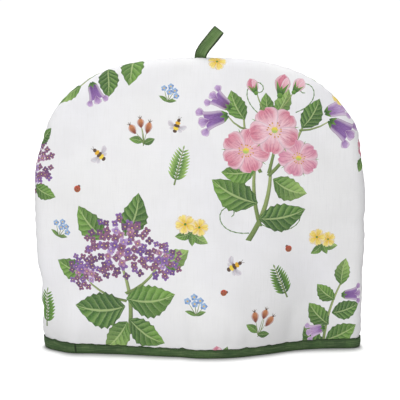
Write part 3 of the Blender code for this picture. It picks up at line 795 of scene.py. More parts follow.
def back_drawing():
    d = Drawing(11)
    d.rose_spray(-72, 22, -6, 1.3, -1)
    d.head_spray(64, 158, 8, 1.3)
    d.leafy_branch(188, 22, -34, 1.1)
    d.leafy_branch(-190, 226, 46, 0.95, -1)
    d.place(0, 0)
    d.round_head(8, 4, 24, 4.6)
    d.each(d.leaf, (26, 14, 60, 24, 8, 2, "mid fresh", 6), (-10, 14, -62, 22, 7.5, 2, "dark mid", 6))
    d.each(d.forget_me_not, (24, 98, 16, 12), (-142, 172, 14, -14))
    d.each(d.primrose_clump, (92, 62, 18, 8), (-46, 252, 17, 10))
    d.each(d.bumblebee, (108, 142, 12, -40), (-36, 200, 12, 36))
    d.each(d.ladybird, (-150, 66, 6, 10), (6, 134, 6, 50))
    d.each(d.rosehips, (-4, 262, 20, 6), (142, 176, 20, 20))
    d.each(d.fern, (-104, 196, 40, -14, 9), (-16, 162, 34, 4, 8, "dark fresh"), (62, 12, 34, 30),
           (-150, 8, 36, -8, 9, "mid fresh"))
    d.primrose(-118, 268, 9, 15)
    return d.blades


def blade_half(blade, t):
    """The half width of a blade along its line, with the teeth of a serrated leaf."""
    half = half_at(blade["profile"], t) * blade["half"]
    if blade["teeth"]:
        phase = (t * blade["teeth"]) % 1
        half = half * (1 - 0.13 * np.where(phase > 0.499, 1.0, 0.0) * (t < 0.999))
    return half


def blade_line(blade, t, side):
    """A point of a blade: `side` is -1 to 1 from its left edge to its right one."""
    across = blade["bend"] * 4 * t * (1 - t) + side * blade_half(blade, t)
    return blade["origin"] + blade["matrix"] @ np.array([t, across])


def blade_outline(blade):
    """A blade's outline and, where its inks need it, the points of its middle line."""
    n = blade["steps"]
    if blade["profile"] == "round":
        ts = (1 - np.cos(np.linspace(0, math.pi, n + 1))) / 2
    else:
        ts = np.linspace(0, 1, n + 1)
    outline = []
    for t in ts:
        outline.append(blade_line(blade, t, 1 if blade_half(blade, t) > 0.05 else 0))
    if blade["notch"]:
        outline.append(blade_line(blade, 1 - blade["notch"], 0))
    for t in ts[::-1]:
        if blade_half(blade, t) > 0.05:
            outline.append(blade_line(blade, t, -1))
    x, y = np.array(outline).T
    if np.sum(x * np.roll(y, -1) - y * np.roll(x, -1)) < 0:
        outline.reverse()
    middle = []
    if blade["kind"] in (LEAF, PETAL):
        last = 1 - blade["notch"]
        middle = [blade_line(blade, t, 0) for t in ts if t <= last - 0.02] + [blade_line(blade, last, 0)]
    return outline, middle


def seam_line(step=3.0):
    """The pattern's outline in millimetres, anticlockwise from the left end of the hem."""
    half, lower, upper = PATTERN_HALF * 1e3, PATTERN_LOWER * 1e3, PATTERN_UPPER * 1e3
    hem = [(x, 0.0) for x in np.linspace(-half, half, int(2 * half / step))]
    right = [(half, y) for y in np.linspace(0, lower, int(lower / step))[1:]]
    a = np.linspace(0, math.pi, 4000)
    c, s = np.cos(a), np.sin(a)
    size = (np.abs(c) ** DOME_POWER + np.abs(s) ** DOME_POWER) ** (1 / DOME_POWER)
    arc = np.stack([c / size * half, lower + s / size * upper], axis=1)
    length = np.concatenate([[0], np.cumsum(np.linalg.norm(np.diff(arc, axis=0), axis=1))])
    even = np.linspace(0, length[-1], int(length[-1] / step))
    top = [(np.interp(e, length, arc[:, 0]), np.interp(e, length, arc[:, 1])) for e in even[1:]]
    left = [(-half, y) for y in np.linspace(lower, 0, int(lower / step))[1:-1]]
    return hem + right + top + left


def cloth_points(spacing, rings, hem_rows):
    """Points inside the pattern: an even net, rows beside the seam, and rows over the hem."""
    edge = np.array(seam_line())
    points = []
    for ring in rings:
        share = 1 - ring / (PATTERN_HALF * 1e3)
        inner = edge[edge[:, 1] > 0.01]
        inner[:, 0] *= share
        base = PATTERN_LOWER * 1e3
        above = inner[:, 1] > base
        inner[above, 1] = base + (inner[above, 1] - base) * share
        points += [tuple(p) for p in inner if p[1] > 0.8]
    reach = max(rings)
    for row in hem_rows:
        half = PATTERN_HALF * 1e3 - reach - 2
        points += [(x, row) for x in np.arange(-half, half, 3.6)]
    rows = 0
    y = max(hem_rows) + spacing
    while y < (PATTERN_LOWER + PATTERN_UPPER) * 1e3:
        shift = spacing / 2 * (rows % 2)
        for x in np.arange(-PATTERN_HALF * 1e3 + shift, PATTERN_HALF * 1e3, spacing):
            share = float(seam_share(x / 1e3, y / 1e3))
            if (1 - share) * PATTERN_HALF * 1e3 > reach + 1.5:
                points.append((x, y))
        y += spacing * 0.866
        rows += 1
    return points


def triangulate(points, edges, faces):
    verts, _, tris, _, _, sources = geometry.delaunay_2d_cdt(points, edges, faces, 0, 0.004, True)
    verts = np.array([(p[0], p[1]) for p in verts])
    kept = [(t, max(s)) for t, s in zip(tris, sources) if len(t) == 3 and 0 in s]
    return verts, np.array([t for t, _ in kept]), np.array([s for _, s in kept])


def boundary_loop(tris):
    """The vertices of a triangulation's outer edge, in order."""
    directed = set()
    for a, b, c in tris:
        directed.update(((a, b), (b, c), (c, a)))
    follow = {a: b for a, b in directed if (b, a) not in directed}
    start = min(follow)
    loop = [start]
    while follow[loop[-1]] != start:
        loop.append(follow[loop[-1]])
    return loop


def linear(ink):
    c = np.array(ink) / 255
    return np.where(c <= 0.04045, c / 12.92, ((c + 0.055) / 1.055) ** 2.4)


def make_panel(name, facing, blades, cloth):
    """One padded panel: its printed outer cloth, its inner cloth and the edge that joins them. The flat
    pattern is drawn as seen from outside, so x is mirrored for the back."""
    points = seam_line()
    edges = []
    faces = [list(range(len(points)))]
    for blade in blades:
        outline, middle = blade_outline(blade)
        faces.append(list(range(len(points), len(points) + len(outline))))
        points += [tuple(p) for p in outline]
        edges += [(len(points) + i, len(points) + i + 1) for i in range(len(middle) - 1)]
        points += [tuple(p) for p in middle]
    points += cloth_points(OUTER_SPACING, OUTER_RINGS, OUTER_HEM_ROWS)
    flat, tris, ink_of = triangulate(points, edges, faces)
    loop = boundary_loop(tris)

    rim = flat[loop]
    inner_points = [tuple(p) for p in rim] + cloth_points(INNER_SPACING, INNER_RINGS, INNER_HEM_ROWS)
    inner_flat, inner_tris, _ = triangulate(inner_points, [], [list(range(len(rim)))])
    sign = -facing
    outer = fine_surface(sign * flat[:, 0] / 1e3, flat[:, 1] / 1e3, facing)
    iu, iv = sign * inner_flat[:, 0] / 1e3, inner_flat[:, 1] / 1e3
    inner = fine_surface(iu, iv, facing)
    inner = inner - panel_normal(iu, iv, facing) * wall_thickness(iu, iv)[:, None]

    base = len(outer)
    near = {tuple(np.round(p, 3)): i for i, p in enumerate(inner_flat)}
    partner = [near[tuple(np.round(p, 3))] for p in rim]
    rim_tris = []
    for i, a in enumerate(loop):
        after = (i + 1) % len(loop)
        b, pa, pb = loop[after], base + partner[i], base + partner[after]
        rim_tris += [(b, a, pa), (b, pa, pb)]
    all_tris = np.concatenate([tris, inner_tris[:, ::-1] + base, np.array(rim_tris)]).astype(int)
    panel = new_piece(name, np.concatenate([outer, inner]), all_tris.tolist(), cloth)

    ink_a, ink_b = np.ones((2, len(all_tris), 3, 4))
    places = np.zeros((len(all_tris), 3, 3))
    places[..., 2] = -1
    corners = flat[tris]
    for index, blade in enumerate(blades, start=1):
        mine = np.nonzero(ink_of == index)[0]
        if not len(mine):
            continue
        local = (corners[mine] - blade["origin"]) @ np.linalg.inv(blade["matrix"]).T
        t = np.clip(local[..., 0], 0, 1)
        across = local[..., 1] - blade["bend"] * 4 * t * (1 - t)
        ink_a[mine, :, :3], ink_b[mine, :, :3] = (linear(ink) for ink in blade["inks"])
        places[mine, :, 0] = t
        places[mine, :, 1] = np.clip(across / np.maximum(blade_half(blade, t), 0.15), -1, 1)
        places[mine, :, 2] = blade["kind"]
    mesh = panel.data
    keep_values(mesh, "ink_a", "FLOAT_COLOR", "CORNER", ink_a)
    keep_values(mesh, "ink_b", "FLOAT_COLOR", "CORNER", ink_b)
    keep_values(mesh, "ink_place", "FLOAT_VECTOR", "CORNER", places)
    flat_all = np.zeros((base + len(inner), 3))
    flat_all[:base, :2] = flat / 1e3
    flat_all[base:, :2] = inner_flat / 1e3 + INNER_CLOTH_SHIFT
    keep_values(mesh, "flat_place", "FLOAT_VECTOR", "POINT", flat_all)

    def charted(points, low, tall):
        across = 0.005 + 0.99 * (points[:, 0] / 1e3 + PATTERN_HALF) / (2 * PATTERN_HALF)
        return np.stack([across, low + tall * points[:, 1] / 1e3 / (PATTERN_LOWER + PATTERN_UPPER)], axis=1)

    chart = np.concatenate([charted(flat, 0.14, 0.855), charted(inner_flat, 0.005, 0.105)])[all_tris]
    first_rim = len(tris) + len(inner_tris)
    for i in range(len(loop)):
        u0, u1 = 0.005 + 0.99 * i / len(loop), 0.005 + 0.99 * (i + 1) / len(loop)
        chart[first_rim + 2 * i] = [(u1, 0.129), (u0, 0.129), (u0, 0.119)]
        chart[first_rim + 2 * i + 1] = [(u1, 0.129), (u0, 0.119), (u1, 0.119)]
    mesh.uv_layers.new(name="OFBake").data.foreach_set("uv", chart.ravel())
    mesh.shade_smooth()
    mesh.set_sharp_from_angle(angle=math.radians(48))
    return panel


# Binding, loop and stitches


def hem_places(count):
    """Even places round the hem, front from left to right and then the back: pattern u and the side."""
    u = np.linspace(-PATTERN_HALF, PATTERN_HALF, 1600)
    places = []
    for facing in (-1, 1):
        line = panel_surface(u, 0, facing)
        length = np.concatenate([[0], np.cumsum(np.linalg.norm(np.diff(line, axis=0), axis=1))])
        even = np.linspace(0, length[-1], count // 2 + 1)[:-1]
        at = even if facing < 0 else length[-1] - even
        places += [(float(a), facing) for a in np.interp(at, length, u)]
    at_join = JOIN_AT + np.array([-0.0012, -0.0005, 0.0, 0.0005, 0.0010, 0.0016])
    joined = [(float(a), -1) for a in np.interp(at_join, panel_surface(u, 0, -1)[:, 0], u)]
    front = sorted([p for p in places if p[1] < 0] + joined)
    return front + [p for p in places if p[1] > 0]


def binding_top(x, facing):
    """The binding's upper edge: its sewn height, with small peaks where the stitches pull."""
    height = smooth_curve(BINDING_HEIGHTS, "across", "height", x)
    for k, peak in enumerate(BINDING_PEAKS):
        centre = peak if facing < 0 else -peak * 0.93 + 0.007
        share = 0.65 + 0.35 * math.cos(k * 2.1)
        height = height + PEAK_HEIGHT * math.exp(-(((x - centre) / PEAK_WIDTH) ** 2)) * share
    return float(height + 0.00018 * math.sin(x * 310) + 0.00016 * math.sin(x * 730 + 1))


def binding_section(u, facing):
    """The folded tape round the hem: both its legs, with the edges turned in and the fold rounded."""
    at_seam = abs(u) > PATTERN_HALF - 1e-6
    lift = float(hem_lift(u / PATTERN_HALF))
    x = float(panel_surface(u, 0, facing)[0])
    top = binding_top(x, facing) - HEM_LIFT
    shares = np.array([1.0, 0.93, 0.80, 0.62, 0.42, 0.22, 0.06])
    rows = np.maximum(shares * top, 0.0)
    outer = panel_surface(np.full(7, u), rows, facing)
    normal = panel_normal(np.full(7, u), rows, facing)
    if at_seam:
        normal = np.array([[math.copysign(1, u), 0, 0]] * 7)
        outer[:, 1] -= facing * SEAM_GAP / 2
    normal[:, 2] = 0
    normal /= np.linalg.norm(normal, axis=1, keepdims=True)
    inner = outer - normal * wall_thickness(np.full(7, u), rows)[:, None]
    gap, thick = PIECE_GAP, BINDING_THICKNESS
    past_join = x - JOIN_AT
    ridge = 0.0
    if facing < 0:
        swell = math.exp(past_join / 0.005) if past_join <= 0 else max(0, 1 - past_join / 0.0005)
        ridge = JOIN_RIDGE * swell
    wave = 0.00012 * math.sin(x * 410 + facing) + 0.0001 * math.sin(x * 173)
    bulge = np.array([0.55, 0.93, 0.84, 1.10, 1.22, 1.18, 1.0]) * thick
    bulge += wave * np.array([0.2, 0.6, 0.4, 1, 1, 0.8, 0.3]) + ridge * np.array([0.4, 0.8, 0.8, 1, 1, 1, 1])
    low, bottom = lift - 2 * gap, lift - HEM_LIFT

    def at(places, row, out, z=None):
        point = places[row] + normal[row] * out
        return (point[0], point[1], point[2] if z is None else z)

    outer_leg = [at(outer, k, gap + bulge[k]) for k in range(7)]
    fold = [
        at(outer, 6, gap + 0.72 * thick, bottom + 0.00045),
        at(outer, 6, gap + 0.30 * thick, bottom),
        at(inner, 6, -gap - 0.30 * thick, bottom),
        at(inner, 6, -2 * gap - 0.72 * thick, bottom + 0.00045),
    ]
    inner_leg = [at(inner, k, -2 * gap - bulge[k]) for k in range(6, -1, -1)]
    hollow = [
        at(inner, 0, -2 * gap),
        at(inner, 3, -2 * gap),
        at(inner, 6, -2 * gap, low),
        at(outer, 6, gap, low),
        at(outer, 3, gap),
        at(outer, 0, gap),
    ]
    return outer_leg + fold + inner_leg + hollow


def loft(name, sections, painted_shades, closed_ring, cloth):
    """A closed piece through a row of like sections. Each corner keeps how far it lies along and round the
    piece, and its painted shade: how much darker its colour is painted there, as shade at an edge, fold or
    crease."""
    points = np.array(sections)
    rows, count = points.shape[:2]
    steps = np.linalg.norm(points[(np.arange(rows) + 1) % rows].mean(1) - points.mean(1), axis=1)
    along = np.concatenate([[0], np.cumsum(steps)])
    turn = np.linalg.norm(np.roll(points, -1, axis=1) - points, axis=2).mean(0)
    round_it = np.concatenate([[0], np.cumsum(turn)])
    faces, tape = [], []
    for r in range(rows if closed_ring else rows - 1):
        n = (r + 1) % rows
        for i in range(count):
            j = (i + 1) % count
            faces.append((r * count + i, n * count + i, n * count + j, r * count + j))
            tape += [(along[r], round_it[i], painted_shades[r][i]), (along[r + 1], round_it[i], painted_shades[n][i]),
                     (along[r + 1], round_it[i + 1], painted_shades[n][j]), (along[r], round_it[i + 1], painted_shades[r][j])]
    if not closed_ring:
        faces.append(tuple(range(count)))
        faces.append(tuple((rows - 1) * count + i for i in range(count - 1, -1, -1)))
        # The cut ends are painted in full shade
        tape += [(far, round_it[i], 1.0) for far in (0, along[rows - 1]) for i in range(count)]
    made = new_piece(name, points.reshape(-1, 3), faces, cloth)
    mesh = made.data
    keep_values(mesh, "tape_place_and_painted_shade", "FLOAT_VECTOR", "CORNER", tape)
    bm = bmesh.new()
    bm.from_mesh(mesh)
    bmesh.ops.recalc_face_normals(bm, faces=bm.faces)
    bm.to_mesh(mesh)
    bm.free()
    mesh.shade_smooth()
    mesh.set_sharp_from_angle(angle=math.radians(50))
    return made


def make_stitches(name, stitches, thread):
    """Stitches as short rounded threads: each row is a start, an end, the cloth's normal and a thickness."""
    verts, faces = [], []
    for start, end, normal, thick in stitches:
        along = end - start
        side = np.cross(normal, along)
        side /= np.linalg.norm(side)
        base = len(verts)
        for t, size, sink in STITCH_RINGS:
            middle = start + along * t + normal * thick * sink
            for a in range(6):
                turn = math.pi / 3 * a
                verts.append(middle + (side * math.cos(turn) + normal * math.sin(turn) * 0.8) * thick * size)
        for r in range(4):
            for a in range(6):
                low, next_low = base + 6 * r + a, base + 6 * r + (a + 1) % 6
                faces.append((low, next_low, next_low + 6, low + 6))
        faces.append(tuple(base + a for a in range(5, -1, -1)))
        faces.append(tuple(base + 24 + a for a in range(6)))
    made = new_piece(name, verts, faces, thread)
    made.data.shade_smooth()
    return made


def make_binding(cloth, thread):
    places = hem_places(BINDING_STATIONS)
    sections = [binding_section(u, facing) for u, facing in places]
    painted_shades = []
    for u, facing in places:
        past_join = float(panel_surface(u, 0, facing)[0]) - JOIN_AT
        # Painted shadow: a dark line just right of the join, where its step casts shade
        at_join = 1.3 if facing < 0 and -0.0001 < past_join < 0.0011 else 0.0
        # Painted shade down each leg, darkest at the top edge; the fold under the hem and the hollow inside
        # are painted dark too
        leg_painted_shade = [1.15, 0.85, 0.22, 0.0, 0.0, 0.0, 0.10]
        painted_shades.append([max(at_join, k) for k in leg_painted_shade] + [0.5, 1, 1, 0.5] + leg_painted_shade[::-1] + [1] * 6)
    binding = loft("binding_tape", sections, painted_shades, True, cloth)
    points = np.array(sections)
    line = points[:, 2]
    length = np.concatenate([[0], np.cumsum(np.linalg.norm(np.roll(line, -1, axis=0) - line, axis=1))])
    ring = np.concatenate([line, line[:1]])
    outward = points[:, 2] - points[:, 22]
    outward = outward / np.linalg.norm(outward, axis=1, keepdims=True)
    outward = np.concatenate([outward, outward[:1]])

    def on_line(table, at):
        return np.array([np.interp(at % length[-1], length, table[:, k]) for k in range(3)])

    stitches = []
    count = int(length[-1] / STITCH_PITCH)
    pitch = length[-1] / count
    for k in range(count):
        start, end = on_line(ring, k * pitch), on_line(ring, k * pitch + 0.74 * pitch)
        stitches.append((start, end, on_line(outward, k * pitch + 0.37 * pitch), 0.00027))
    return binding, make_stitches("binding_stitches", stitches, thread)


def loop_line(t):
    """The loop's middle line and its direction from the front, t from 0 at the root to 1 at the fold."""
    rises = [row["rise"] for row in LOOP_LINE]
    rise = rises[0] + (rises[-1] - rises[0]) * t
    step = 0.0005
    x = smooth_curve(LOOP_LINE, "rise", "x", rise)
    above = smooth_curve(LOOP_LINE, "rise", "x", rise + step)
    below = smooth_curve(LOOP_LINE, "rise", "x", rise - step)
    run = np.minimum(rise + step, rises[-1]) - np.maximum(rise - step, rises[0])
    return float(x), float(SEAM_TOP + rise), float(np.arctan2(above - below, run))


def loop_path_point(angle):
    """The folded tape seen from its edge: up in front, over the fold and down behind."""
    t = (1 - math.cos(angle)) / 2
    bow = max(0, (t - LOOP_STRAIGHT) / (1 - LOOP_STRAIGHT)) ** 1.2
    turn = math.cos(angle / 2)
    closing = math.copysign(1 - (1 - abs(turn)) ** 2, turn)
    return t, -closing * (LOOP_ROOT + LOOP_SPREAD * bow)


def make_loop(seam_y, cloth, thread):
    """The tape carried along its folded path, with a line of stitches beside each edge."""
    sections, rows = [], []
    start = math.acos(1 - 2 * LOOP_STRAIGHT)
    angles = [0, *np.linspace(start * 0.5, 2 * math.pi - start * 0.5, 110), 2 * math.pi]
    across = [-1, -0.97, -0.86, -0.74, -0.45, 0, 0.45, 0.74, 0.86, 0.97, 1]
    swell = [0.55, 0.86, 1.0, 0.86, 0.98, 1.0, 0.98, 0.86, 1.0, 0.86, 0.55]
    for angle in angles:
        t, y = loop_path_point(angle)
        x, z, lean = loop_line(t)
        nearby = 1e-3
        t1, y1 = loop_path_point(min(angle + nearby, 2 * math.pi))
        t0, y0 = loop_path_point(max(angle - nearby, 0))
        length = (LOOP_LINE[-1]["rise"] - LOOP_LINE[0]["rise"]) / math.cos(lean)
        rise, run = (t1 - t0) * length, y1 - y0
        size = math.hypot(rise, run)
        along = np.array([math.sin(lean), 0, math.cos(lean)])
        side = np.array([math.cos(lean), 0, -math.sin(lean)])
        normal = np.array([0.0, 1.0, 0.0]) * rise / size - along * run / size
        middle = np.array([x + LOOP_TURN * y, seam_y + y, z])
        half = LOOP_WIDTH / 2 * (1 + 0.008 * math.sin(angle * 23) + 0.006 * math.sin(angle * 51 + 1))
        thick = TAPE_THICKNESS / 2
        front = [middle + side * half * a - normal * thick * s for a, s in zip(across, swell)]
        back = [middle + side * half * a + normal * thick * s for a, s in zip(across[::-1], swell[::-1])]
        sections.append(front + back)
        rows.append((angle, middle, side, normal, half))
    # Painted shade across the tape: both edges darker, the right one most, as shade with the light coming from
    # the left, and a paler strip just inside the right edge
    edge = [1.2, 1.2, 0.9, 0.1, 0, 0, -0.2, -1.5, 0.8, 1.5, 1.5]
    painted_shades = []
    for angle, *_ in rows:
        # The fold at the top and the root in the seam are painted in shade
        painted_shade_at_fold = math.exp(-(((angle - math.pi) / 0.30) ** 2))
        painted_shade_at_root = math.exp(-((min(angle, 2 * math.pi - angle) / 1.05) ** 8))
        painted_shades.append([k + (0.9 - k) * max(painted_shade_at_fold, painted_shade_at_root) for k in edge + edge[::-1]])
    loop = loft("loop_tape", sections, painted_shades, False, cloth)

    stitches = []
    centres = np.array([row[1] for row in rows])
    length = np.concatenate([[0], np.cumsum(np.linalg.norm(np.diff(centres, axis=0), axis=1))])
    first, last = LOOP_STITCH_MARGIN, length[-1] - LOOP_STITCH_MARGIN
    for k in range(int((last - first) / LOOP_STITCH_PITCH)):
        ends = []
        for at in (first + k * LOOP_STITCH_PITCH, first + (k + 0.7) * LOOP_STITCH_PITCH):
            middle, side, normal = (
                np.array([np.interp(at, length, [row[i][c] for row in rows]) for c in range(3)])
                for i in (1, 2, 3)
            )
            ends.append((middle, side, normal / np.linalg.norm(normal)))
        for place in (-0.76, 0.74):
            for face in (-1, 1):
                over, out = LOOP_WIDTH / 2 * place, face * TAPE_THICKNESS / 2 * 0.88
                start, end = (m + s * over + n * out for m, s, n in ends)
                stitches.append((start, end, ends[0][2] * face, 0.00019))
    return loop, make_stitches("loop_stitches", stitches, thread)


# Materials


class Field:
    """One output of a material's nodes, which is added, multiplied and ramped as a number is."""

    def __init__(self, nodes, socket):
        self.nodes = nodes
        self.socket = socket

    def __add__(self, other):
        return self.nodes.math("ADD", self, other)

    def __sub__(self, other):
        return self.nodes.math("SUBTRACT", self, other)

    def __rsub__(self, other):
        return self.nodes.math("SUBTRACT", other, self)

    def __mul__(self, other):
        return self.nodes.math("MULTIPLY", self, other)

    def ramp(self, low, high, to_low=0.0, to_high=1.0):
        """A smooth step from the value at low to the value at high, which may lie below low."""
        inputs = {"Value": self, "From Min": low, "From Max": high, "To Min": to_low, "To Max": to_high}
        return self.nodes.new("MapRange", inputs, interpolation_type="SMOOTHSTEP")


class Nodes:
    """A material and short names for the nodes that it is made of."""

    def __init__(self, name):
        self.material = bpy.data.materials.new(name)
        self.material.use_nodes = True
        self.tree = self.material.node_tree
        self.shader = self.tree.nodes["Principled BSDF"]

    def set(self, sockets, values):
        """Links each field to its socket, and puts each constant on the socket itself."""
        for key, value in values.items():
            if isinstance(value, Field):
                self.tree.links.new(value.socket, sockets[key])
            else:
                sockets[key].default_value = value

    def new(self, kind, inputs, output=0, **settings):
        node = self.tree.nodes.new("ShaderNode" + kind)
        for key, value in settings.items():
            setattr(node, key, value)
        self.set(node.inputs, inputs)
        return Field(self, node.outputs[output])

    def math(self, operation, a, b=0.0, c=0.0, clamp=False):
        return self.new("Math", {0: a, 1: b, 2: c}, operation=operation, use_clamp=clamp)

    def mix(self, factor, a, b, blend="MIX"):
        inputs = {0: factor, 6: a, 7: b}
        return self.new("Mix", inputs, 2, data_type="RGBA", blend_type=blend, clamp_factor=True)

    def tinted(self, colour, tint):
        return self.mix(1.0, colour, tint, "MULTIPLY")

    def attribute(self, name, output="Vector"):
        return self.new("Attribute", {}, output, attribute_type="GEOMETRY", attribute_name=name)

    def position(self):
        return self.new("TexCoord", {}, "Object")

    def noise(self, vector, scale=1.0, detail=2.0, roughness=0.5):
        inputs = {"Vector": vector, "Scale": scale, "Detail": detail, "Roughness": roughness}
        return self.new("TexNoise", inputs)

    def stretched_noise(self, vector, sizes):
        return self.noise(self.new("Mapping", {"Vector": vector, "Scale": sizes}))

    def split(self, vector):
        return [Field(self, out) for out in self.new("SeparateXYZ", {0: vector}).socket.node.outputs]

    def bump(self, height, strength, distance):
        return self.new("Bump", {"Height": height, "Strength": strength, "Distance": distance})

    def wave(self, field, pitch):
        return self.math("SINE", field * (2 * math.pi / pitch))

    def finish(self, colour, roughness, normal, sheen, sheen_tint=(1, 1, 1, 1), gloss=0.12):
        self.set(self.shader.inputs, {
            "Base Color": colour, "Roughness": roughness, "Normal": normal, "Specular IOR Level": gloss,
            "Sheen Weight": sheen, "Sheen Roughness": 0.6, "Sheen Tint": sheen_tint,
        })
        return self.material


def printed_cotton():
    n = Nodes("printed_cotton_cloth")
    flat = n.attribute("flat_place")
    x, y, _ = n.split(flat)
    t, side, kind = n.split(n.attribute("ink_place"))
    off_middle = n.math("ABSOLUTE", side)

    # Threads: an even weave with thicker slubs here and there, both ways
    weave = n.wave(x, 0.0011) * n.wave(y, 0.0011) * 0.5 + 0.5
    slub_x = n.stretched_noise(flat, (40, 1100, 1)).ramp(0.50, 0.82)
    slub_y = n.stretched_noise(flat, (680, 42, 1)).ramp(0.46, 0.76)
    threads = slub_y * 0.85 + slub_x * 0.6

    # The cotton's own white, with painted shade making it a little greyer above the hem
    blotch = n.noise(flat, 26.0, 3.0).ramp(0.3, 0.7)
    white = n.mix(blotch, (0.800, 0.797, 0.800, 1), (0.835, 0.833, 0.838, 1))
    cool = n.noise(flat, 9.0).ramp(0.35, 0.65)
    white = n.mix(cool * 0.6, white, n.tinted(white, (0.975, 0.972, 1.02, 1)))
    # Painted shade: greyer over the lowest 50 mm of the cloth, most just above the binding
    white = n.mix(y.ramp(0.012, 0.050, 0.55, 0.0), white, (0.715, 0.710, 0.715, 1))
    white = n.mix(threads * 0.45, white, (0.745, 0.742, 0.748, 1))
    white = n.mix(weave * 0.25, white, (0.775, 0.772, 0.778, 1))

    # Inks: from one to the other along each shape, washed unevenly like watercolour
    wash = n.noise(flat, 300.0, 3.0, 0.6) * 0.5 + (t - 0.25)
    ink = n.mix(wash.ramp(0.05, 0.95), n.attribute("ink_a", "Color"), n.attribute("ink_b", "Color"))
    is_leaf, is_petal, is_stem = (n.math("COMPARE", kind, float(k), 0.25) for k in (LEAF, PETAL, STEM))

    # Leaves: puffed between the side veins, pale along the veins, and one half in shade
    rows = n.math("FRACT", t * 7.0 - off_middle * 1.3)
    from_vein = n.math("FRACT", rows + 0.5)
    side_vein = (1.0 - n.math("ABSOLUTE", rows - 0.5).ramp(0.03, 0.13)) * (1.0 - off_middle * 0.8)
    veins = n.math("MAXIMUM", 1.0 - off_middle.ramp(0.03, 0.10), side_vein * 0.5)
    puffed = from_vein.ramp(0.75, 0.10) * off_middle.ramp(0.05, 0.30)
    hollow = from_vein.ramp(0.45, 0.95) * off_middle.ramp(0.95, 0.30)
    leaf = n.mix(puffed * 0.42, ink, (0.300, 0.480, 0.130, 1))
    leaf = n.mix(hollow * 0.50, leaf, (0.022, 0.075, 0.012, 1))
    leaf = n.mix(side.ramp(-0.30, 0.30) * 0.45, leaf, (0.022, 0.075, 0.012, 1))
    leaf = n.mix(veins * 0.70, leaf, (0.46, 0.58, 0.24, 1))
    ink = n.mix(is_leaf, ink, leaf)

    # Petals: fine streaks from the base out, deep at the base, and a paler rim
    streak_place = n.new("CombineXYZ", {0: side * 11.0, 1: t * 1.3, 2: x * 60.0})
    streaks = n.noise(streak_place, 1.4).ramp(0.44, 0.62)
    petal = n.mix(streaks * 0.60, ink, n.tinted(ink, (0.62, 0.36, 0.52, 1)))
    petal = n.mix(t.ramp(0.50, 0.12) * 0.35, petal, n.tinted(ink, (0.70, 0.42, 0.55, 1)))
    petal = n.mix(off_middle.ramp(0.50, 0.90) * 0.45, petal, (0.88, 0.78, 0.83, 1))
    ink = n.mix(is_petal, ink, petal)

    # Stems are lit along one side
    ink = n.mix(is_stem, ink, n.mix(side.ramp(0.0, 0.9) * 0.7, ink, (0.05, 0.09, 0.025, 1)))

    # Colour gathers in a thin line at the edge of leaves and petals, and thins where the cloth shows
    rim = off_middle.ramp(0.86, 0.99) * n.math("MAXIMUM", is_leaf, is_petal) * 0.45
    ink = n.mix(rim, ink, n.tinted(ink, (0.42, 0.38, 0.42, 1)))
    cover = n.math("GREATER_THAN", kind, -0.5) * n.noise(flat, 700.0).ramp(0.2, 0.8, 1.0, 0.93)
    colour = n.mix(cover * (1.0 - weave * 0.03), white, ink)
    normal = n.bump(weave * 0.5 + threads * 0.9, 0.35, 0.00022)
    return n.finish(colour, threads.ramp(0.0, 1.0, 0.90, 0.82), normal, 0.02, gloss=0.08)


def woven_tape(name, ribs, dark, mid, light):
    """Woven tape: ribs across or along it, a little twill, wear on the raised threads, and painted shade from
    each corner's painted shade value.
    """
    n = Nodes(name)
    along, over, painted_shade = n.split(n.attribute("tape_place_and_painted_shade"))
    flat = n.new("CombineXYZ", {0: along, 1: over})
    streaks = n.stretched_noise(flat, (60, 1100, 1))
    cross = n.stretched_noise(flat, (900, 120, 1))
    rib = n.wave(along if ribs == "across" else over, 0.0016) * 0.5 + 0.5
    twill = n.wave(along + over, 0.0009) * 0.5 + 0.5
    colour = n.mix(n.noise(n.position(), 55.0, 3.0).ramp(0.3, 0.7), dark, mid)
    colour = n.mix(streaks.ramp(0.42, 0.70) * 0.60, colour, light)
    colour = n.mix(cross.ramp(0.48, 0.72) * 0.60, colour, dark)
    colour = n.mix(rib * 0.22, colour, light)
    colour = n.mix(twill * 0.12, colour, dark)
    # Painted shade: darker by each corner's painted shade value, at the tapes' edges, fold, join, loop fold
    # and loop root
    colour = n.mix(n.math("MULTIPLY", painted_shade, 0.72, clamp=True), colour, (0.018, 0.030, 0.014, 1))
    # Paler where the painted shade value is below zero, a strip inside the loop's right edge
    colour = n.mix(n.math("MULTIPLY", painted_shade, -0.55, clamp=True), colour, light)
    normal = n.bump(rib * 0.7 + twill * 0.3 + streaks * 0.8, 0.5, 0.00025)
    return n.finish(colour, streaks.ramp(0.3, 0.8, 0.86, 0.74), normal, 0.05, (0.8, 1.0, 0.75, 1))


def sewing_thread(name, dark, light):
    n = Nodes(name)
    plies = n.noise(n.position(), 4200.0, 1.0)
    broad = n.noise(n.position(), 60.0)
    colour = n.mix(plies.ramp(0.35, 0.65), dark, light)
    colour = n.mix(broad.ramp(0.3, 0.7) * 0.4, colour, dark)
    return n.finish(colour, plies.ramp(0.3, 0.7, 0.75, 0.6), n.bump(plies, 0.4, 0.0001), 0.05)


def floor_material():
    """Pale, with a glow that the camera sees: even and bright away from the cosy, fading to a painted contact
    shadow along the hem.
    """
    n = Nodes("studio_floor")
    tone = n.noise(n.position(), 3.0).ramp(0.3, 0.7)
    from_hem = n.attribute("from_hem", "Fac")
    # Painted contact shadow: the glow drops from 0.62 to 0.02 within 28 mm of the hem
    glow_with_painted_contact_shadow = from_hem.ramp(0.0, 0.028, 0.02, 0.62) + from_hem.ramp(0.15, 1.2, 0.0, 0.30)
    n.set(n.shader.inputs, {
        "Base Color": n.mix(tone, (0.57, 0.57, 0.57, 1), (0.59, 0.59, 0.59, 1)), "Roughness": 0.9,
        "Specular IOR Level": 0.1, "Emission Color": (1, 1, 1, 1),
        "Emission Strength": n.new("LightPath", {}, "Is Camera Ray") * glow_with_painted_contact_shadow,
    })
    return n.material


# The scene


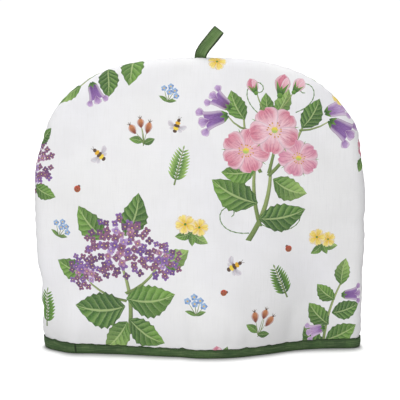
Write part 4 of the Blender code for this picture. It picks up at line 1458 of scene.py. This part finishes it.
def make_floor():
    """A pale floor, in rings round the hem so that its material knows how near the hem is, for the painted
    contact shadow there.
    """
    line = np.array([panel_surface(u, 0, facing)[:2] for u, facing in hem_places(FLOOR_STATIONS)])
    tangent = np.roll(line, -1, axis=0) - np.roll(line, 1, axis=0)
    outward = np.stack([tangent[:, 1], -tangent[:, 0]], axis=1)
    outward /= np.linalg.norm(outward, axis=1, keepdims=True)
    # The rings lie closer together at the sides, so the painted contact shadow is narrower there
    spread = 0.22 + 0.78 * np.abs(outward[:, 1:]) ** 3
    rings = [(line * 0.97, 0.0)]
    rings += [(line + outward * spread * off, off) for off in FLOOR_RINGS]
    last = rings[-1][0]
    rings += [(last * grow, 0.028 + 0.15 * (grow - 1)) for grow in (1.1, 1.4, 2.0, 4.0, 10.0, 90.0)]
    count = len(line)
    verts = [(0.0, 0.0, 0.0)] + [(p[0], p[1], 0.0) for ring, _ in rings for p in ring]
    faces = [(0, 1 + i, 1 + (i + 1) % count) for i in range(count)]
    for r in range(len(rings) - 1):
        low = 1 + r * count
        for i in range(count):
            j = (i + 1) % count
            faces.append((low + i, low + count + i, low + count + j, low + j))
    floor = new_piece("floor", verts, faces, floor_material())
    keep_values(floor.data, "from_hem", "FLOAT", "POINT", [0.0] + [off for ring, off in rings for _ in ring])
    floor.location = (0, 0, -0.00005)


def placed(name, data, place, rotation):
    made = bpy.data.objects.new(name, data)
    bpy.context.scene.collection.objects.link(made)
    made.location = place
    made.rotation_euler = rotation
    return made


def soft_light(name, place, target, size, power):
    light = bpy.data.lights.new(name, "AREA")
    light.shape = "SQUARE"
    light.size = size
    light.energy = power
    aim = np.array(target) - np.array(place)
    level = math.hypot(aim[0], aim[1])
    placed(name, light, place, (math.atan2(level, -aim[2]), 0, math.atan2(-aim[0], aim[1])))


def make_camera():
    """Level with the middle of the cosy and a little above it, as the photograph was taken."""
    data = bpy.data.cameras.new("camera")
    data.sensor_width = 36
    data.lens = 192.3
    distance, rise, middle = 2.2, math.radians(7.5), 0.1531
    place = (0, -distance * math.cos(rise), middle + distance * math.sin(rise))
    bpy.context.scene.camera = placed("camera", data, place, (math.pi / 2 - rise, 0, 0))


def make_light():
    scene = bpy.context.scene
    scene.view_settings.view_transform = "Standard"
    scene.view_settings.look = "None"
    scene.world = bpy.data.worlds.new("studio")
    scene.world.use_nodes = True
    tree = scene.world.node_tree
    tree.nodes.clear()
    mixed = tree.nodes.new("ShaderNodeMixShader")
    tree.links.new(tree.nodes.new("ShaderNodeLightPath").outputs["Is Camera Ray"], mixed.inputs[0])
    for index, strength in ((1, WORLD_LIGHT), (2, WORLD_SHOWN)):
        background = tree.nodes.new("ShaderNodeBackground")
        background.inputs["Color"].default_value = (1, 1, 1, 1)
        background.inputs["Strength"].default_value = strength
        tree.links.new(background.outputs[0], mixed.inputs[index])
    tree.links.new(mixed.outputs[0], tree.nodes.new("ShaderNodeOutputWorld").inputs[0])
    soft_light("key", (-0.8, -2.4, 0.34), (0, 0, 0.12), 1.1, 37.5)
    soft_light("fill", (1.5, -1.9, 0.5), (0, 0, 0.14), 1.6, 6)
    soft_light("overhead", (0, 0.6, 2.2), (0, 0, 0.1), 1.8, 36)


def main():
    make_camera()
    cloth = printed_cotton()
    binding_cloth = woven_tape("binding_tape_cloth", "along", (0.030, 0.062, 0.026, 1),
                               (0.056, 0.116, 0.038, 1), (0.150, 0.205, 0.095, 1))
    loop_cloth = woven_tape("loop_tape_cloth", "across", (0.060, 0.118, 0.038, 1),
                            (0.122, 0.228, 0.068, 1), (0.215, 0.300, 0.140, 1))
    binding_thread = sewing_thread("binding_thread", (0.030, 0.060, 0.026, 1), (0.060, 0.105, 0.048, 1))
    loop_thread = sewing_thread("loop_thread", (0.140, 0.200, 0.100, 1), (0.240, 0.310, 0.180, 1))

    settle_cloth(-1)
    settle_cloth(1)
    front = make_panel("panel_front_cloth", -1, front_drawing(), cloth)
    back = make_panel("panel_back_cloth", 1, back_drawing(), cloth)
    binding, binding_stitches = make_binding(binding_cloth, binding_thread)
    seam_y = float(panel_surface(0.0, PATTERN_LOWER + PATTERN_UPPER, 1)[1]) - SEAM_GAP / 2
    loop, loop_stitches = make_loop(seam_y, loop_cloth, loop_thread)

    for piece in (front, back, binding, binding_stitches, loop, loop_stitches):
        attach(piece, "root")
    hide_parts("panel_front")
    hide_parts("panel_back")
    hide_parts("hem_binding")
    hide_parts("hanging_loop")
    make_floor()
    make_light()


main()
